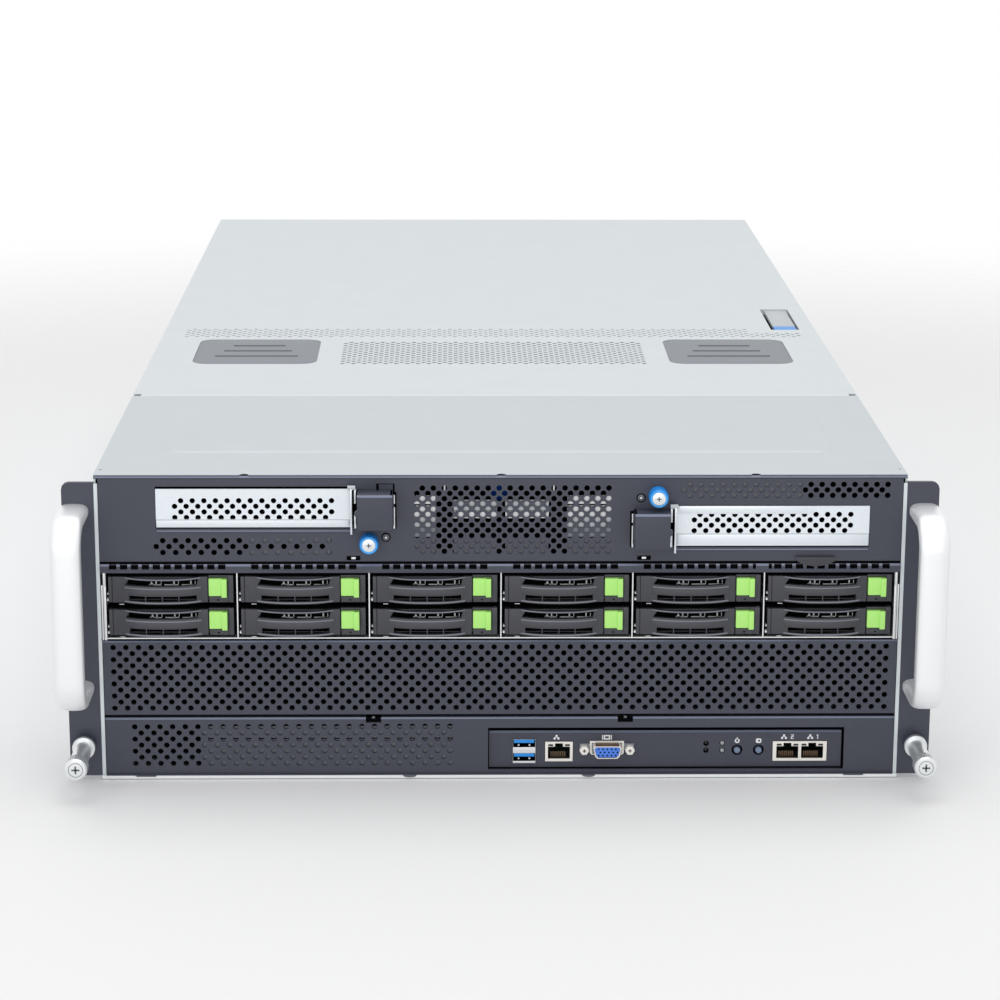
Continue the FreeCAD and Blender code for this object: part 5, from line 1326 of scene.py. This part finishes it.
part("lid_sheet", ZINC, [plate(loops, plan(SKIN_LOW), (0, 0, SKIN))], "top_lid", ["top_lid"], holes=[
    field((-98.0, 299.0, LOW), 29, 20, LID_PITCH, 3.65, stagger=LID_PITCH / 2, trim=1, lying=True),
    field((-207.0, 389.0, LOW), 55, 8, LID_PITCH, 3.6, stagger=LID_PITCH / 2, hole=(3.0, 3.0), lying=True),
    field((178.0, 389.0, LOW), 5, 4, LID_PITCH, 3.6, stagger=LID_PITCH / 2, hole=(3.0, 3.0), lying=True)])

# %% Under the lid
PAN_H = 7.0
PAN_X, PAN_Y = (grown(span, SHEET) for span in WINDOW)
BACKING_Z = (SKIN_LOW - 1.4, SKIN_LOW - 0.5)
inner = (20 - HALF, HALF - 20)
long = (LID_Y[0] + 8.0, REAR - SHEET - 17.0)
shells = [box(flip(side, *WALL), long, (LOW - WALL_H, SKIN_LOW)) for side in (-1, 1)]
part("lid_folds", ZINC, shells + [
    box(inner, (COVER_END - 9.0, LID_Y[0] + 6.0), (LOW - GAP - SHEET, LOW - GAP)),
    box(inner, (LID_Y[0], LID_Y[0] + 6.0), (LOW - GAP, SKIN_LOW)),
    plate([rect(PAN_X, PAN_Y), rect(*WINDOW)], plan(LOW - PAN_H), (0, 0, PAN_H + SHEET - SKIN)),
    box(PAN_X, PAN_Y, (LOW - PAN_H - SHEET, LOW - PAN_H))], "top_lid")
part("vent_backing", WHITE, [box((-214.0, 210.0), (386.0, 400.0), BACKING_Z),
                             box((-214.0, 190.0), (400.0, 418.0), BACKING_Z)], "top_lid")
# A white bar along the lid's front edge: a painted highlight.
lip = [(LID_Y[0], SKIN_LOW), (LID_Y[0], TOP - 0.75), (LID_Y[0] + 0.9, TOP), (LIP_END, TOP), (LIP_END, SKIN_LOW)]
part("lid_lip_highlight", WHITE, [bar((-NECK, NECK), lip)], "top_lid")
# Black blocks at the corners of the lid's neck: painted shade in the gaps.
part("lid_corner_shade", DARK, [box(flip(side, HALF - 0.6, NECK - 0.5), (LID_Y[0] - 0.3, NECK_Y + 0.4),
                               (LOW + 0.05, SKIN_LOW - 0.05)) for side in (-1, 1)], "top_lid")

# %% Grip pads
LINE_L, LINE_W = (34.5, 45.0, 54.6), 2.4
LINE_STEP = 17.0
pads, lines = [], []
for side in (-1, 1):
    x = flip(side, *PAD_X)
    pads.append(plate([rounded(grown(x, -0.1), grown(PAD_Y, -0.1), PAD_R, 8)], plan(LOW), (0, 0, 0.8)))
    for k, length in enumerate(LINE_L):
        y = PAD_Y[1] - 20.0 - k * LINE_STEP
        line = rounded(about(sum(x) / 2, length), about(y, LINE_W), 1.1, 4)
        lines.append(plate([line], plan(LOW + 0.7), (0, 0, 0.5)))
part("grip_pads", GREY, pads, "top_lid", bevel=0.25)
part("grip_lines", ASH, lines, "top_lid", bevel=0.15)

# %% Lid latch
LATCH_TOP = TOP - 0.4
BLADE_Z = (LATCH_TOP - 2.4, LATCH_TOP)
TIP_END = LATCH_LONG[0] + 12.5
PIVOT = (0, LATCH_LONG[1] - 2.2, TOP - 2.8)
part("lid_latch_body", PALE, [
    box(LATCH_X, (TIP_END, PIVOT[1]), BLADE_Z), turned([(x, 2.2) for x in LATCH_X], PIVOT, 20, "x"),
    turned([(x, 0.85) for x in grown(LATCH_X, 2.1)], PIVOT, 16, "x"),
], "lid_latch", ["lid_latch"], bevel=0.3)
part("lid_latch_tip", BLUE, [
    box(LATCH_X, (LATCH_LONG[0], TIP_END), BLADE_Z),
    box(LATCH_X, (LATCH_LONG[0], LATCH_LONG[0] + 2.5), (LATCH_TOP - 5.0, LATCH_TOP - 2.0)),
], "lid_latch", bevel=0.4)
# A black plate at the floor of the latch pan: painted shade.
part("lid_latch_pit_shade", DARK, [box(*WINDOW, (LOW - PAN_H + 0.05, LOW - PAN_H + 0.2))], "top_lid")


# %% [markdown]
# ## Camera, floor and light
# The camera stands in front and above, as a product photographer would place it, with a long lens that
# keeps the front nearly square. The floor is a sheet of paper that fades into a white world, and two
# large soft lights give even, gentle reflections.

# %% Camera
EYE = Vector((-0.027483, -1.51908, 0.554205))
LENS, SENSOR = 102.81, 36.0
YAW, PITCH, ROLL = 0.0176, 0.2531, 0.0035
ahead = Vector((math.sin(YAW) * math.cos(PITCH), math.cos(YAW) * math.cos(PITCH), -math.sin(PITCH)))
right = Vector((math.cos(YAW), -math.sin(YAW), 0))
over = right.cross(ahead)
right_rolled = right * math.cos(ROLL) + over * math.sin(ROLL)
over_rolled = over * math.cos(ROLL) - right * math.sin(ROLL)
lens = bpy.data.cameras.new("photo_camera")
lens.lens = LENS
lens.sensor_width = SENSOR
lens.clip_start = 0.05
camera = link("photo_camera", lens)
turn = Matrix((right_rolled, over_rolled, -ahead)).transposed().to_4x4()
camera.matrix_world = Matrix.Translation(EYE) @ turn
bpy.context.scene.camera = camera
print("camera at", [round(c, 3) for c in EYE])

# %% Floor
FLOOR_FADE = (0.8, 1.7)
FADE_CENTRE = (0.0, 0.3, 0.0)
PAPER = finish("floor_paper", (0.94, 0.94, 0.945), (0.96, 0.96, 0.965), 0.8, bump=0.0)
floor_mesh = bpy.data.meshes.new("floor")
floor_mesh.from_pydata([(x, y, -0.0005) for x, y in rect((-3, 3), (-3, 4))], [], [(0, 1, 2, 3)])
floor_mesh.materials.append(PAPER)
tree = PAPER.node_tree
place = add_node(tree, "ShaderNodeTexCoord")
centred = add_node(tree, "ShaderNodeVectorMath", {0: place["Object"], 1: FADE_CENTRE}, operation="SUBTRACT")
reach = add_node(tree, "ShaderNodeVectorMath", {0: centred[0]}, operation="LENGTH")
fade = add_node(tree, "ShaderNodeMapRange", {
    "Value": reach["Value"], "From Min": FLOOR_FADE[0], "From Max": FLOOR_FADE[1], "To Min": 1.0, "To Max": 0.0,
}, interpolation_type="SMOOTHSTEP")
feed(tree, tree.nodes["Principled BSDF"], {"Alpha": fade["Result"]})
floor = link("floor", floor_mesh)
print("floor fades between", FLOOR_FADE, "metres")

# %% World and lights
WORLD_LEVEL = (0.55, 1.0)
world = bpy.data.worlds.new("studio")
bpy.context.scene.world = world
world.use_nodes = True
tree = world.node_tree
rays = add_node(tree, "ShaderNodeLightPath")
seen = add_node(tree, "ShaderNodeMath", {0: rays["Is Camera Ray"], 1: rays["Is Glossy Ray"]},
                operation="MAXIMUM")
level = add_node(tree, "ShaderNodeMapRange", {
    "Value": seen[0], "To Min": WORLD_LEVEL[0], "To Max": WORLD_LEVEL[1]})
feed(tree, tree.nodes["Background"], {"Color": (1.0, 1.0, 1.0, 1), "Strength": level["Result"]})


def soft_light(name, place, target, size, power):
    lamp = bpy.data.lights.new(name, "AREA")
    lamp.shape = "RECTANGLE"
    lamp.size, lamp.size_y = size
    lamp.energy = power
    light = link(name, lamp)
    light.location = place
    light.rotation_euler = (Vector(target) - Vector(place)).to_track_quat("-Z", "Y").to_euler()


soft_light("ceiling_box", (0, 0.2, 2.4), (0, 0.35, 0), (2.6, 2.6), 26)
soft_light("front_box", (-0.5, -2.6, 1.1), (0, 0, 0.1), (3.2, 2.0), 24)
bpy.context.scene.view_settings.view_transform = "Standard"
print("lights", len(bpy.data.lights))
